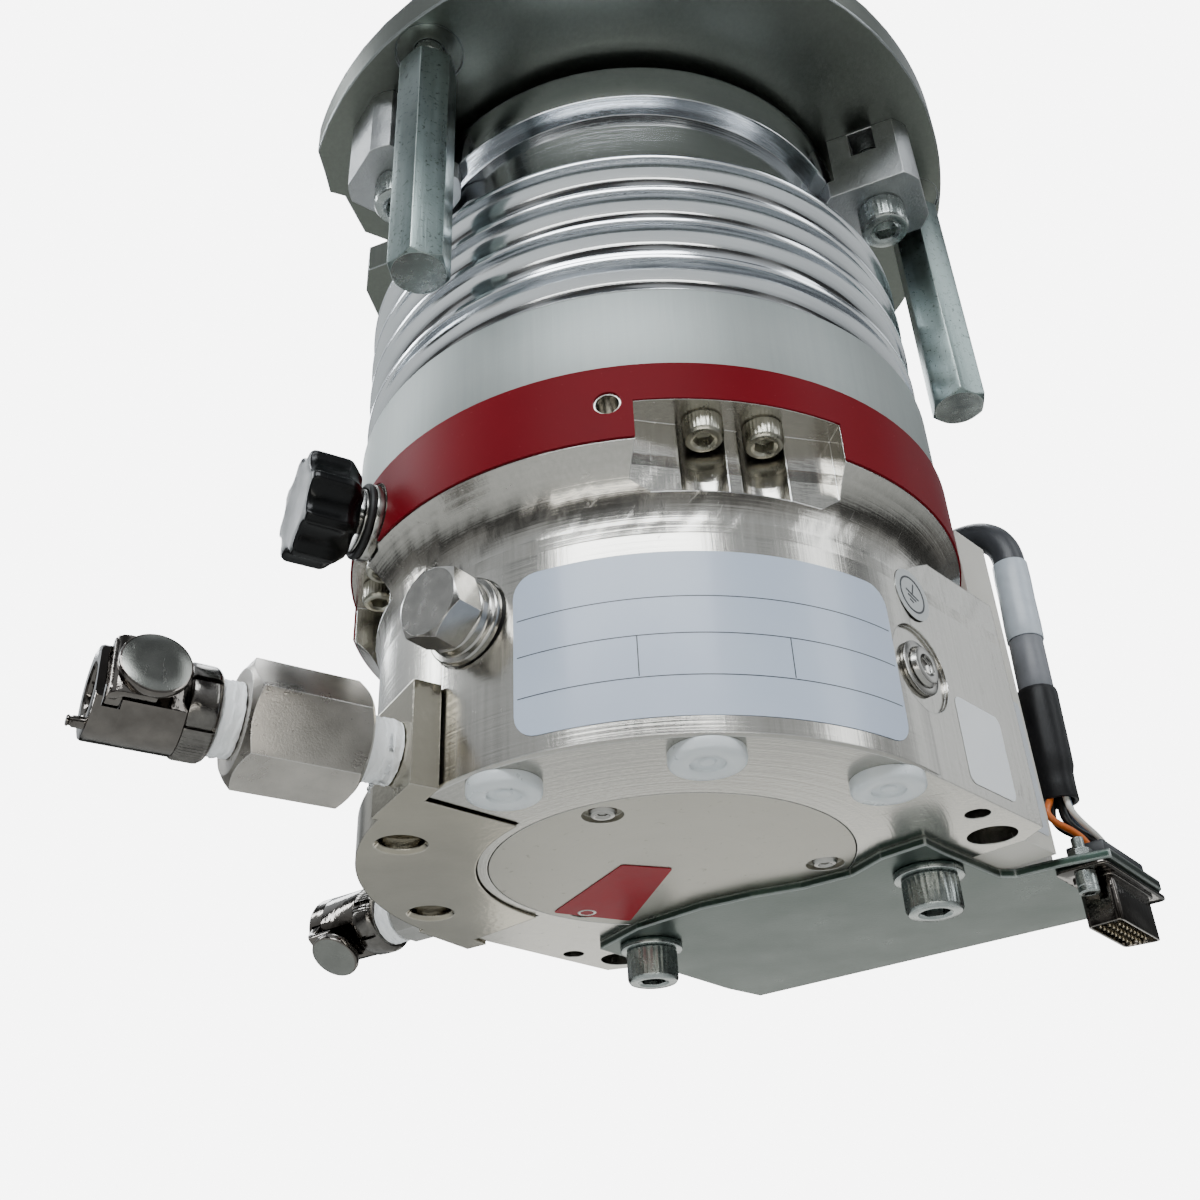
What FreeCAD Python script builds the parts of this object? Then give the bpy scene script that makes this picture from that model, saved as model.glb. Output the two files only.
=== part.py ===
import FreeCAD, Part
import math
import os
import Sketcher
from FreeCAD import Placement, Rotation, Vector

os.makedirs("parts", exist_ok=True)
doc = FreeCAD.newDocument("turbo_pump")

# Sizes in millimetres and degrees; heights are counted from the underside of the lower housing
SIZES = [
    ("plate_top", 209.0), ("plate_thick", 10.0), ("plate_radius", 95.0), ("inlet_radius", 51.0), ("spigot_radius", 52.2), ("spigot_depth", 3.2),
    ("flange_top", 195.0), ("flange_thick", 12.0), ("flange_radius", 65.0), ("neck_radius", 59.5),
    ("stack_bore", 56.0), ("fin_radius", 73.7), ("groove_radius", 68.4), ("barrel_radius", 74.4),
    ("barrel_top", 152.0), ("joint_level", 82.2), ("rim_radius", 75.0), ("rim_bottom", 62.5),
    ("wall_radius", 67.0), ("wall_top", 46.0), ("side_offset", 66.7), ("drive_face", 50.0),
    ("drive_turn", 46.0), ("block_top", 56.0), ("cover_radius", 41.0), ("cover_thick", 6.0),
    ("cover_screw_circle", 35.0), ("band_thick", 0.45), ("band_bottom", 62.9), ("band_top", 81.8),
    ("pocket_ceiling", 72.3), ("pocket_width", 45.3), ("vent_pocket_width", 35.5), ("pocket_wall", 65.8),
    ("pair_circle", 68.0), ("pair_half", 5.6),
    ("pair_first", -76.0), ("screw_five", 2.5), ("head_five", 4.35), ("socket_five", 4.0),
    ("screw_eight", 4.0), ("head_eight", 6.5), ("socket_eight", 6.0), ("washer_radius", 8.0),
    ("washer_thick", 1.6), ("bracket_thick", 2.0), ("foot_radius", 7.5), ("foot_height", 2.6),
    ("foot_circle", 59.5), ("post_flats", 13.0), ("post_bottom", 118.5), ("post_top", 193.0),
    ("post_stud", 4.0), ("post_circle", 85.5), ("claw_width", 22.0), ("vent_turn", -149.5),
    ("vent_level", 71.0), ("vent_shank", 6.0), ("vent_stem", 3.0), ("knob_radius", 13.0),
    ("knob_height", 12.6), ("plug_turn", -127.0), ("plug_level", 34.0), ("plug_flats", 15.0),
    ("plug_seat", 65.4), ("cool_inner", 43.8), ("cool_outer", 70.0), ("cool_half", 42.0),
    ("cool_thick", 9.0), ("cool_screw_circle", 61.5), ("cool_screw_half", 21.3), ("upright_height", 22.0),
    ("fitting_level", 9.8), ("fitting_turn", 147.5), ("adapter_flats", 22.0), ("adapter_length", 24.0),
    ("tape_inner_radius", 6.7), ("tape_outer_radius", 7.6), ("coupling_radius", 8.8), ("nipple_radius", 5.0),
    ("poppet_radius", 3.2), ("cable_radius", 4.2), ("shaft_radius", 6.0), ("rotor_radius", 48.8),
    ("hub_radius", 25.0), ("blade_count", 18), ("vane_count", 16), ("blade_thick", 1.8),
    ("running_gap", 0.05), ("seat_gap", 0.10), ("open_gap", 0.30), ("drive_depth", 14.0),
    ("drive_half", 60.0), ("drive_top", 84.0), ("box_half", 44.0), ("box_back", 94.0),
    ("connector_turn", 51.0), ("connector_x", 104.9), ("connector_y", 20.8), ("screen_radius", 52.8),
    ("tail_radius", 4.6),
]

sheet = doc.addObject("Spreadsheet::Sheet", "sizes")
for row, (alias, value) in enumerate(SIZES, start=1):
    sheet.set("A%d" % row, alias)
    sheet.set("B%d" % row, str(value))
    sheet.setAlias("B%d" % row, alias)
doc.recompute()


def val(alias):
    return float(sheet.get(alias))


PLATE_TOP = val("plate_top")
FLANGE_TOP = val("flange_top")
JOINT = val("joint_level")
RIM = val("rim_radius")
WALL = val("wall_radius")
GAP = val("open_gap")
SEAT = val("seat_gap")
RUN = val("running_gap")
PLATE_UNDER = PLATE_TOP - val("plate_thick")
FLANGE_UNDER = FLANGE_TOP - val("flange_thick")
SCREEN_SEAT = FLANGE_UNDER
parts = {}


# General helpers
def polar(radius, turn, level=0.0):
    angle = math.radians(turn)
    return Vector(radius * math.cos(angle), radius * math.sin(angle), level)


def drive_point(along, across, level=0.0):
    angle = math.radians(val("drive_turn"))
    x = along * math.cos(angle) + across * math.sin(angle)
    y = along * math.sin(angle) - across * math.cos(angle)
    return Vector(x, y, level)


def rod(radius, height, base, axis=Vector(0, 0, 1)):
    return Part.makeCylinder(radius, height, base, axis)


def tube(outer, inner, low, high, x=0.0, y=0.0):
    base = Vector(x, y, low)
    solid = rod(outer, high - low, base)
    return solid.cut(rod(inner, high - low, base))


def prism(points, low, high):
    wire = Part.makePolygon([Vector(p[0], p[1], low) for p in points] + [Vector(points[0][0], points[0][1], low)])
    return Part.Face(wire).extrude(Vector(0, 0, high - low))


def hexagon(flats, height, base, axis=Vector(0, 0, 1), turn=0.0):
    corner = flats / math.sqrt(3.0)
    ring = [(corner * math.cos(math.radians(60 * i + turn)), corner * math.sin(math.radians(60 * i + turn)))
            for i in range(6)]
    solid = prism(ring, 0.0, height)
    solid.Placement = Placement(base, Rotation(Vector(0, 0, 1), axis))
    return solid


def lathe(points, base=Vector(0, 0, 0), axis=Vector(0, 0, 1)):
    wire = Part.makePolygon([Vector(r, 0, z) for r, z in points] + [Vector(points[0][0], 0, points[0][1])])
    solid = Part.Face(wire).revolve(Vector(0, 0, 0), Vector(0, 0, 1), 360)
    solid.Placement = Placement(base, Rotation(Vector(0, 0, 1), axis))
    return solid


def lathe_edges(edges):
    return Part.Face(Part.Wire(Part.__sortEdges__(edges))).revolve(Vector(0, 0, 0), Vector(0, 0, 1), 360)


def line(a, b):
    return Part.makeLine(Vector(a[0], 0, a[1]), Vector(b[0], 0, b[1]))


def arc(a, m, b):
    return Part.Arc(Vector(a[0], 0, a[1]), Vector(m[0], 0, m[1]), Vector(b[0], 0, b[1])).toShape()


def sector(inner, outer, start, stop, low, high):
    ring = tube(outer, inner, low, high)
    far = outer * 3.0
    mid = (start + stop) / 2.0
    wedge = prism([(0, 0), tuple(polar(far, start))[:2], tuple(polar(far, mid))[:2],
                   tuple(polar(far, stop))[:2]], low, high)
    return ring.common(wedge)


def slab(along, across, height, centre, turn):
    solid = Part.makeBox(along, across, height, Vector(-along / 2.0, -across / 2.0, 0))
    solid.Placement = Placement(centre, Rotation(Vector(0, 0, 1), turn))
    return solid


def joined(shapes):
    result = shapes[0]
    if len(shapes) > 1:
        result = result.fuse(shapes[1:])
    return result.removeSplitter()


def piece(label, shape):
    feature = doc.addObject("Part::Feature", label)
    feature.Label = label
    feature.Shape = shape
    feature.Placement = Placement(Vector(0, 0, -PLATE_TOP), Rotation()).multiply(shape.Placement)
    parts[label] = feature
    return feature


# Helpers for sketched bodies whose sizes stay tied to the table
def new_body(label):
    body = doc.addObject("PartDesign::Body", label)
    body.Label = label
    return body


def new_sketch(body, name):
    plane = [item for item in body.Origin.OriginFeatures if item.Role == "XY_Plane"][0]
    sketch = body.newObject("Sketcher::SketchObject", name)
    sketch.AttachmentSupport = [(plane, "")]
    sketch.MapMode = "FlatFace"
    return sketch


def sketch_circle(sketch, x, y, radius, alias=None):
    index = sketch.addGeometry(Part.Circle(Vector(x, y, 0), Vector(0, 0, 1), radius), False)
    number = sketch.addConstraint(Sketcher.Constraint("Radius", index, radius))
    if alias:
        sketch.setExpression("Constraints[%d]" % number, "sizes." + alias)
    return index


def sketch_polygon(sketch, points):
    count = len(points)
    first = sketch.GeometryCount
    for i in range(count):
        a = points[i]
        b = points[(i + 1) % count]
        sketch.addGeometry(Part.LineSegment(Vector(a[0], a[1], 0), Vector(b[0], b[1], 0)), False)
    for i in range(count):
        sketch.addConstraint(Sketcher.Constraint("Coincident", first + i, 2, first + (i + 1) % count, 1))


def pad(body, sketch, name, length, alias=None):
    feature = body.newObject("PartDesign::Pad", name)
    feature.Profile = sketch
    feature.Length = length
    if alias:
        feature.setExpression("Length", "sizes." + alias)
    return feature


def pocket(body, sketch, name, length, alias=None):
    feature = body.newObject("PartDesign::Pocket", name)
    feature.Profile = sketch
    feature.Length = length
    feature.Reversed = True
    if alias:
        feature.setExpression("Length", "sizes." + alias)
    return feature


def place_body(label, body, base, turn=0.0):
    body.Placement = Placement(base - Vector(0, 0, PLATE_TOP), Rotation(Vector(0, 0, 1), turn))
    parts[label] = body


def grouped(label, bodies):
    group = doc.addObject("Part::Compound", label)
    group.Label = label
    group.Links = bodies
    for body in bodies:
        parts.pop(body.Label, None)
    parts[label] = group
    return group


# Chamber-side mounting plate with the inlet opening, post threads and claw threads
POST_TURNS = (-126.5, -8.0, 113.0)
CLAW_TURNS = (-22.0, 98.0, -144.0)
CLAW_SCREW_CIRCLE = 76.0


def plate_outline():
    radius = val("plate_radius")
    points = [tuple(polar(radius, turn))[:2] for turn in range(-155, 151, 6)]
    # The milled step on the cooling side, from the back edge to the front one
    points += [(-80.5, 43.0), (-79.3, 31.0), (-82.2, 13.0), (-80.1, 4.7), (-72.8, 1.8), (-72.3, -7.0),
               (-78.3, -10.5), (-81.6, -24.2), (-85.6, -25.9), (-85.7, -32.7)]
    return points


plate = new_body("mounting_plate")
plate_sketch = new_sketch(plate, "plate_sketch")
sketch_polygon(plate_sketch, plate_outline())
sketch_circle(plate_sketch, 0, 0, val("inlet_radius"), "inlet_radius")
pad(plate, plate_sketch, "plate_pad", val("plate_thick"), "plate_thick")
plate_holes = new_sketch(plate, "plate_holes")
for turn in POST_TURNS:
    spot = polar(val("post_circle"), turn)
    sketch_circle(plate_holes, spot.x, spot.y, val("post_stud") + SEAT)
for turn in CLAW_TURNS:
    spot = polar(CLAW_SCREW_CIRCLE, turn)
    sketch_circle(plate_holes, spot.x, spot.y, val("screw_eight") + SEAT)
pocket(plate, plate_holes, "plate_threads", 8.0)
plate_spots = new_sketch(plate, "plate_spots")
for turn in POST_TURNS:
    spot = polar(val("post_circle"), turn)
    sketch_circle(plate_spots, spot.x, spot.y, 8.8)
pocket(plate, plate_spots, "plate_spotfaces", 0.8)
plate_spigot = new_sketch(plate, "plate_spigot")
sketch_circle(plate_spigot, 0, 0, val("spigot_radius"), "spigot_radius")
pocket(plate, plate_spigot, "plate_counterbore", val("spigot_depth"), "spigot_depth")
place_body("mounting_plate", plate, Vector(0, 0, PLATE_UNDER))


# Hexagon posts screwed into the plate
def make_post(label, turn):
    low = val("post_bottom")
    high = val("post_top")
    length = high - low
    body = new_body(label)
    corner = val("post_flats") / math.sqrt(3.0)
    outline = new_sketch(body, label + "_hexagon")
    sketch_polygon(outline, [tuple(polar(corner, 60 * i))[:2] for i in range(6)])
    pad(body, outline, label + "_shaft", length)
    stud = new_sketch(body, label + "_stud")
    sketch_circle(stud, 0, 0, val("post_stud"), "post_stud")
    pad(body, stud, label + "_thread", length + 13.5)
    place_body(label, body, polar(val("post_circle"), turn, low), turn + 30.0)
    return body


POST_LABELS = ("post_left", "post_right", "post_back")
grouped("hex_posts", [make_post(name, turn) for name, turn in zip(POST_LABELS, POST_TURNS)])


# Claw clamps and their screws
def make_claw(turn):
    width = val("claw_width")
    inner = val("neck_radius") + 1.0
    heel = val("flange_radius") + 1.2
    lip = Part.makeBox(88.0 - inner, width, 6.0, Vector(inner, -width / 2.0, FLANGE_UNDER - 6.2))
    back = Part.makeBox(88.0 - heel, width, PLATE_UNDER - FLANGE_UNDER + 6.2 - 0.1,
                        Vector(heel, -width / 2.0, FLANGE_UNDER - 6.2))
    body = joined([lip, back])
    nose = rod(15.0, 60.0, Vector(CLAW_SCREW_CIRCLE - 1.5, 0, FLANGE_UNDER - 20.0))
    body = body.common(nose)
    relief = Part.makeBox(7.0, width, 9.0, Vector(79.0, -width / 2.0, PLATE_UNDER - 9.1))
    body = body.cut(relief.translated(Vector(-7.0, 0, -0.2)).common(rod(30, 60, Vector(98, 0, 150))))
    body = body.cut(rod(val("screw_eight") + GAP, 60.0, Vector(CLAW_SCREW_CIRCLE, 0, FLANGE_UNDER - 20.0)))
    body.rotate(Vector(0, 0, 0), Vector(0, 0, 1), turn)
    return body


def cap_screw(shank, head, socket, head_height, reach):
    solid = joined([rod(head, head_height, Vector(0, 0, -head_height)), rod(shank, reach, Vector(0, 0, 0))])
    solid = solid.cut(hexagon(socket, head_height * 0.55, Vector(0, 0, -head_height - 0.01)))
    return solid


def make_claw_screw(turn):
    solid = cap_screw(val("screw_eight"), val("head_eight"), val("socket_eight"), 8.0,
                      PLATE_UNDER + 7.0 - (FLANGE_UNDER - 6.2))
    solid.translate(polar(CLAW_SCREW_CIRCLE, turn, FLANGE_UNDER - 6.25))
    return solid


piece("claw_clamps", Part.makeCompound([make_claw(turn) for turn in CLAW_TURNS]))
piece("claw_screws", Part.makeCompound([make_claw_screw(turn) for turn in CLAW_TURNS]))

# Upper housing: turned barrel with fins and grooves, neck and inlet flange, stepped bore
FIN_TOPS = (105.2, 116.0, 128.0, 138.4)


def upper_housing():
    fin = val("fin_radius")
    floor = val("groove_radius")
    barrel = val("barrel_radius")
    top = val("barrel_top")
    edges = [line((60.0, JOINT), (barrel, JOINT)), line((barrel, JOINT), (barrel, 104.2)),
             line((barrel, 104.2), (fin, 105.2))]
    for index, level in enumerate(FIN_TOPS):
        upper = FIN_TOPS[index + 1] if index + 1 < len(FIN_TOPS) else top - 2.2
        land = 1.2
        sweep = fin - floor
        start = upper - land - sweep
        edges.append(line((fin, level), (floor, level)))
        edges.append(line((floor, level), (floor, start)))
        bend = math.radians(45)
        edges.append(arc((floor, start), (fin - sweep * math.cos(bend), start + sweep * math.sin(bend)),
                         (fin, start + sweep)))
        edges.append(line((fin, start + sweep), (fin, upper)))
    neck = val("neck_radius")
    flange = val("flange_radius")
    edges.append(line((fin, top - 2.2), (fin - 2.2, top)))
    edges.append(line((fin - 2.2, top), (neck + 4.0, top)))
    edges.append(arc((neck + 4.0, top), (neck + 1.17, top + 1.17), (neck, top + 4.0)))
    edges.append(line((neck, top + 4.0), (neck, FLANGE_UNDER)))
    edges.append(line((neck, FLANGE_UNDER), (flange, FLANGE_UNDER)))
    edges.append(line((flange, FLANGE_UNDER), (flange, FLANGE_TOP)))
    spigot = val("spigot_radius")
    spigot_floor = FLANGE_TOP - val("spigot_depth")
    edges.append(line((flange, FLANGE_TOP), (spigot, FLANGE_TOP)))
    edges.append(line((spigot, FLANGE_TOP), (spigot, spigot_floor)))
    edges.append(line((spigot, spigot_floor), (val("inlet_radius"), spigot_floor)))
    seat = val("screen_radius") + SEAT
    edges.append(line((val("inlet_radius"), spigot_floor), (val("inlet_radius"), SCREEN_SEAT + 3.5)))
    edges.append(line((val("inlet_radius"), SCREEN_SEAT + 3.5), (seat, SCREEN_SEAT + 3.5)))
    edges.append(line((seat, SCREEN_SEAT + 3.5), (seat, SCREEN_SEAT)))
    edges.append(line((seat, SCREEN_SEAT), (val("stack_bore"), SCREEN_SEAT)))
    edges.append(line((val("stack_bore"), SCREEN_SEAT), (val("stack_bore"), 90.0)))
    edges.append(line((val("stack_bore"), 90.0), (60.0, 90.0)))
    edges.append(line((60.0, 90.0), (60.0, JOINT)))
    body = lathe_edges(edges)
    for turn in PAIR_TURNS:
        spot = polar(val("pair_circle"), turn)
        body = body.cut(rod(val("screw_five") + SEAT, 12.5, Vector(spot.x, spot.y, JOINT - 0.5)))
    return body


def pair_turns():
    result = []
    for quarter in range(4):
        for side in (-1, 1):
            result.append(val("pair_first") + 90.0 * quarter + side * val("pair_half"))
    return result


PAIR_TURNS = pair_turns()
piece("upper_housing", upper_housing())


# Lower housing: round rim with milled screw pockets, swept fillet, drive block, bottom recess
def block_outline():
    edge = val("side_offset")
    face = val("drive_face")
    half = val("drive_half")
    pairs = [(0, edge), (face - 4.0, edge), (face, half), (face, -half), (face - 4.0, -edge), (0, -edge)]
    return [tuple(drive_point(a, c))[:2] for a, c in pairs]


def pocket_boxes(inner, low, high):
    # The pocket beside the vent valve is the narrow one
    boxes = []
    for quarter in range(4):
        turn = val("pair_first") + 90.0 * quarter
        away = abs((turn - val("vent_turn") + 180.0) % 360.0 - 180.0)
        width = val("vent_pocket_width") if away < 40.0 else val("pocket_width")
        box = Part.makeBox(RIM + 15.0 - inner, width, high - low, Vector(inner, -width / 2.0, low))
        box.rotate(Vector(0, 0, 0), Vector(0, 0, 1), turn)
        boxes.append(box)
    return boxes


def screw_pockets():
    ceiling = val("pocket_ceiling")
    cutters = pocket_boxes(val("pocket_wall"), 54.0, ceiling)
    for turn in PAIR_TURNS:
        cutters.append(rod(5.5, ceiling - 54.0, polar(val("pair_circle"), turn, 54.0)))
        cutters.append(rod(val("screw_five") + SEAT, 12.0, polar(val("pair_circle"), turn, ceiling - 0.5)))
    return cutters


BRACKET_SCREWS = ((-4.3, 51.5), (58.5, 6.2))
DRIVE_SCREW_SIDE = (val("box_half") + val("drive_half")) / 2.0
DRIVE_SCREW_LEVELS = (12.0, 44.0)
COOL_TURNS = (180.0 - val("cool_screw_half"), 180.0 + val("cool_screw_half"))
COVER_TURNS = (-115.0, 5.0, 125.0)
PORT_ALONG = 16.0
PORT_LEVEL = 34.0


def fitting_axis(side):
    return polar(1.0, side * val("fitting_turn"))


def fitting_seat(side):
    return Vector(-56.0 if side < 0 else -57.0, side * (45.2 if side < 0 else 44.0), val("fitting_level"))


def lower_housing():
    edges = [line((12.0, 0), (WALL - 0.6, 0)), line((WALL - 0.6, 0), (WALL, 0.6)),
             line((WALL, 0.6), (WALL, val("wall_top"))),
             arc((WALL, val("wall_top")), (WALL + 2.6, val("wall_top") + 10.6), (RIM, val("rim_bottom"))),
             line((RIM, val("rim_bottom")), (RIM, JOINT - 0.1)), line((RIM, JOINT - 0.1), (50.0, JOINT - 0.1)),
             line((50.0, JOINT - 0.1), (50.0, 60.0)), line((50.0, 60.0), (28.0, 60.0)),
             line((28.0, 60.0), (28.0, 30.0)), line((28.0, 30.0), (12.0, 30.0)), line((12.0, 30.0), (12.0, 0))]
    body = lathe_edges(edges)
    block = prism(block_outline(), 0, val("block_top"))
    block = block.cut(rod(50.0, 80.0, Vector(0, 0, 0)))
    body = body.fuse([block]).removeSplitter()
    far = 110.0
    rear = [tuple(drive_point(a, c))[:2] for a, c in ((val("drive_face"), -far), (far, -far), (far, far),
                                                      (val("drive_face"), far))]
    cutters = screw_pockets()
    cutters.append(prism(rear, -1.0, val("block_top") + 0.1))
    cutters.append(tube(32.0, 29.0, 5.9, 8.7))
    cutters.append(rod(val("cover_radius") + GAP, val("cover_thick") + 0.2, Vector(0, 0, -0.1)))
    cutters.append(sector(val("cool_inner") - GAP, 90.0, 180.0 - val("cool_half") - 1.0,
                          180.0 + val("cool_half") + 1.0, -0.1, val("cool_thick") + GAP))
    for turn in COOL_TURNS:
        cutters.append(rod(2.6, 14.0, polar(val("cool_screw_circle"), turn, 4.0)))
    for turn in COVER_TURNS:
        cutters.append(rod(1.6, 12.0, polar(val("cover_screw_circle"), turn, 4.0)))
    for x, y in BRACKET_SCREWS:
        cutters.append(rod(val("screw_eight") + SEAT, 18.0, Vector(x, y, -0.1)))
    for side in (-1, 1):
        open_hole = drive_point(val("drive_face") - 8.5, side * 57.0)
        cutters.append(rod(5.5, 8.0, open_hole - Vector(0, 0, 0.1)))
        cutters.append(rod(3.3, 20.0, open_hole))
        small_hole = drive_point(28.0, side * 61.5)
        cutters.append(rod(2.75, 12.0, small_hole - Vector(0, 0, 0.1)))
    gauge = polar(RIM + 1.0, -97.5, 72.2)
    cutters.append(rod(2.5, 9.0, gauge, Vector(-gauge.x, -gauge.y, 0)))
    vent = polar(RIM + 2.0, val("vent_turn"), val("vent_level"))
    cutters.append(rod(9.7, 2.9, vent, Vector(-vent.x, -vent.y, 0)))
    cutters.append(rod(val("vent_shank") + SEAT, 19.0, vent, Vector(-vent.x, -vent.y, 0)))
    plug = polar(WALL + 5.0, val("plug_turn"), val("plug_level"))
    cutters.append(rod(9.9, WALL + 5.0 - val("plug_seat"), plug, Vector(-plug.x, -plug.y, 0)))
    cutters.append(rod(5.1, 22.0, plug, Vector(-plug.x, -plug.y, 0)))
    earth = drive_point(6.5, val("side_offset") + 1.0, 25.0)
    inward = drive_point(0, -1.0)
    cutters.append(rod(10.0, 1.8, earth, inward))
    cutters.append(rod(2.1, 12.0, earth, inward))
    port = drive_point(PORT_ALONG, -val("side_offset") - 1.0, PORT_LEVEL)
    cutters.append(rod(8.1, 28.0, port, drive_point(0, 1.0)))
    for side in (-1, 1):
        centre = fitting_seat(side) - fitting_axis(side) * 3.1
        cutters.append(slab(6.8, 19.8, val("cool_thick") + GAP + 0.1, Vector(centre.x, centre.y, -0.1),
                            side * val("fitting_turn")))
    for side in (-1, 1):
        for level in DRIVE_SCREW_LEVELS:
            spot = drive_point(val("drive_face") + 1.0, side * DRIVE_SCREW_SIDE, level)
            cutters.append(rod(2.1, 10.0, spot, drive_point(-1.0, 0)))
    return body.cut(cutters)


piece("lower_housing", lower_housing())


# Coloured band round the rim, open at the pockets and holes
def red_band():
    low = val("band_bottom")
    high = val("band_top")
    inner = RIM + 0.02
    ring = tube(inner + val("band_thick"), inner, low, high)
    cutters = pocket_boxes(RIM - 15.0, low - 1.0, val("pocket_ceiling"))
    gauge = polar(RIM + 5.0, -97.5, 72.2)
    cutters.append(rod(2.9, 12.0, gauge, Vector(-gauge.x, -gauge.y, 0)))
    vent = polar(RIM + 5.0, val("vent_turn"), val("vent_level"))
    cutters.append(rod(9.8, 12.0, vent, Vector(-vent.x, -vent.y, 0)))
    return ring.cut(cutters)


piece("red_band", red_band())


# Rim screws in pairs
def rim_screws():
    solids = []
    for turn in PAIR_TURNS:
        screw = cap_screw(val("screw_five"), val("head_five"), val("socket_five"), 5.2, 20.0)
        screw.translate(polar(val("pair_circle"), turn, val("pocket_ceiling") - 0.05))
        solids.append(screw)
    return Part.makeCompound(solids)


piece("rim_screws", rim_screws())

# Rubber seal rings, collected as they are made and written as one set
SEALS = [Part.makeTorus(57.6, 1.3, Vector(0, 0, JOINT + 1.35))]


# Vent valve on the rim
def vent_axis():
    return polar(1.0, val("vent_turn"))


def along_vent(distance):
    return polar(distance, val("vent_turn"), val("vent_level"))


def vent_parts():
    seat = RIM - 0.85
    axis = vent_axis()
    neck = lathe([(val("vent_stem") + RUN, -11.0), (val("vent_shank"), -11.0), (val("vent_shank"), 0.1),
                  (8.6, 0.1), (9.0, 0.5), (9.0, 2.6), (7.4, 2.6), (7.4, 4.6), (val("vent_stem") + RUN, 4.6)],
                 along_vent(seat), axis)
    piece("vent_neck", neck)
    SEALS.append(Part.makeTorus(8.25, 0.75, along_vent(seat + 3.4), axis))
    stem = joined([rod(val("vent_stem"), 24.0, along_vent(seat - 9.0), axis),
                   rod(4.6, 2.0, along_vent(seat - 16.0), axis)])
    stem = stem.fuse(rod(1.6, 7.0, along_vent(seat - 15.0), axis)).removeSplitter()
    piece("vent_stem", stem)
    blank = rod(val("knob_radius"), val("knob_height"), Vector(0, 0, 0))
    flutes = []
    for index in range(8):
        centre = polar(val("knob_radius") + 4.6, 45.0 * index + 22.5, -1.0)
        flutes.append(rod(6.2, val("knob_height") + 2.0, centre))
    blank = blank.cut(flutes)
    chamfer = lathe([(0, 0), (val("knob_radius") - 2.2, 0), (val("knob_radius") + 0.3, 2.4),
                     (val("knob_radius") + 0.3, val("knob_height") - 1.2),
                     (val("knob_radius") - 0.9, val("knob_height")), (0, val("knob_height"))])
    knob = blank.common(chamfer)
    knob = knob.cut(rod(val("vent_stem") + 0.01, 9.2, Vector(0, 0, -0.1)))
    knob.Placement = Placement(along_vent(seat + 6.1), Rotation(Vector(0, 0, 1), axis))
    piece("vent_knob", knob)


vent_parts()


# Hexagon plug and its ring
def plug_parts():
    axis = polar(1.0, val("plug_turn"))

    def at(distance):
        return polar(distance, val("plug_turn"), val("plug_level"))

    seat = val("plug_seat") + 1.3
    body = lathe([(0, -14.0), (5.0, -14.0), (5.0, 0), (9.2, 0), (9.6, 0.4), (9.6, 2.0), (8.0, 2.2), (8.0, 4.6),
                  (0, 4.6)], at(seat), axis)
    head = hexagon(val("plug_flats"), 7.4, at(seat + 4.4), axis, 12.0)
    crown = lathe([(0, -1.0), (9.4, -1.0), (9.4, 6.6), (7.9, 7.4), (0, 7.4)], at(seat + 4.4), axis)
    body = joined([body, head.common(crown)])
    piece("hex_plug", body)
    SEALS.append(lathe([(5.15, 0.05), (8.8, 0.05), (8.8, 1.25), (5.15, 1.25)], at(val("plug_seat")), axis))


plug_parts()


# Earth screw with its washer in the spotface
def earth_screw():
    outward = drive_point(0, 1.0)
    seat = drive_point(6.5, val("side_offset") - 0.75, 25.0)
    body = lathe([(0, -10.0), (2.0, -10.0), (2.0, 0), (6.2, 0), (6.2, 1.0), (4.6, 1.2), (4.2, 2.4), (0, 2.4)],
                 seat, outward)
    return body.cut(hexagon(3.6, 1.6, seat + outward * 1.0, outward))


piece("earth_screw", earth_screw())

# Bottom cover, sketched, with screw seats
cover = new_body("bottom_cover")
cover_sketch = new_sketch(cover, "cover_outline")
sketch_circle(cover_sketch, 0, 0, val("cover_radius"), "cover_radius")
pad(cover, cover_sketch, "cover_disc", val("cover_thick"), "cover_thick")
cover_holes = new_sketch(cover, "cover_holes")
cover_seats = new_sketch(cover, "cover_seats")
for turn in COVER_TURNS:
    spot = polar(val("cover_screw_circle"), turn)
    sketch_circle(cover_holes, spot.x, spot.y, 1.8)
    sketch_circle(cover_seats, spot.x, spot.y, 4.4)
pocket(cover, cover_holes, "cover_bores", val("cover_thick"), "cover_thick")
pocket(cover, cover_seats, "cover_counterbores", 1.3)
place_body("bottom_cover", cover, Vector(0, 0, 0))


def cover_screws():
    solids = []
    for turn in COVER_TURNS:
        screw = lathe([(0, 0), (2.6, 0), (3.0, 0.4), (3.0, 1.5), (1.5, 1.5), (1.5, 12.0), (0, 12.0)])
        screw = screw.cut(hexagon(2.0, 1.0, Vector(0, 0, -0.01)))
        screw.translate(polar(val("cover_screw_circle"), turn, -0.25))
        solids.append(screw)
    return Part.makeCompound(solids)


piece("cover_screws", cover_screws())
SEALS.append(Part.makeTorus(30.5, 1.2, Vector(0, 0, val("cover_thick") + 1.25)))
piece("seal_rings", Part.makeCompound(SEALS))


# Plastic feet, each a sketched disc with a recessed centre
def make_foot(label, turn):
    body = new_body(label)
    outline = new_sketch(body, label + "_outline")
    sketch_circle(outline, 0, 0, val("foot_radius"), "foot_radius")
    pad(body, outline, label + "_disc", val("foot_height"), "foot_height")
    recess = new_sketch(body, label + "_recess")
    sketch_circle(recess, 0, 0, 3.4)
    pocket(body, recess, label + "_dish", 0.9)
    place_body(label, body, polar(val("foot_circle"), turn, -val("foot_height") - 0.05))
    return body


FOOT_PLACES = (("foot_left", -124.0), ("foot_middle", -85.0), ("foot_right", -46.0))
grouped("feet", [make_foot(name, turn) for name, turn in FOOT_PLACES])


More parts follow.
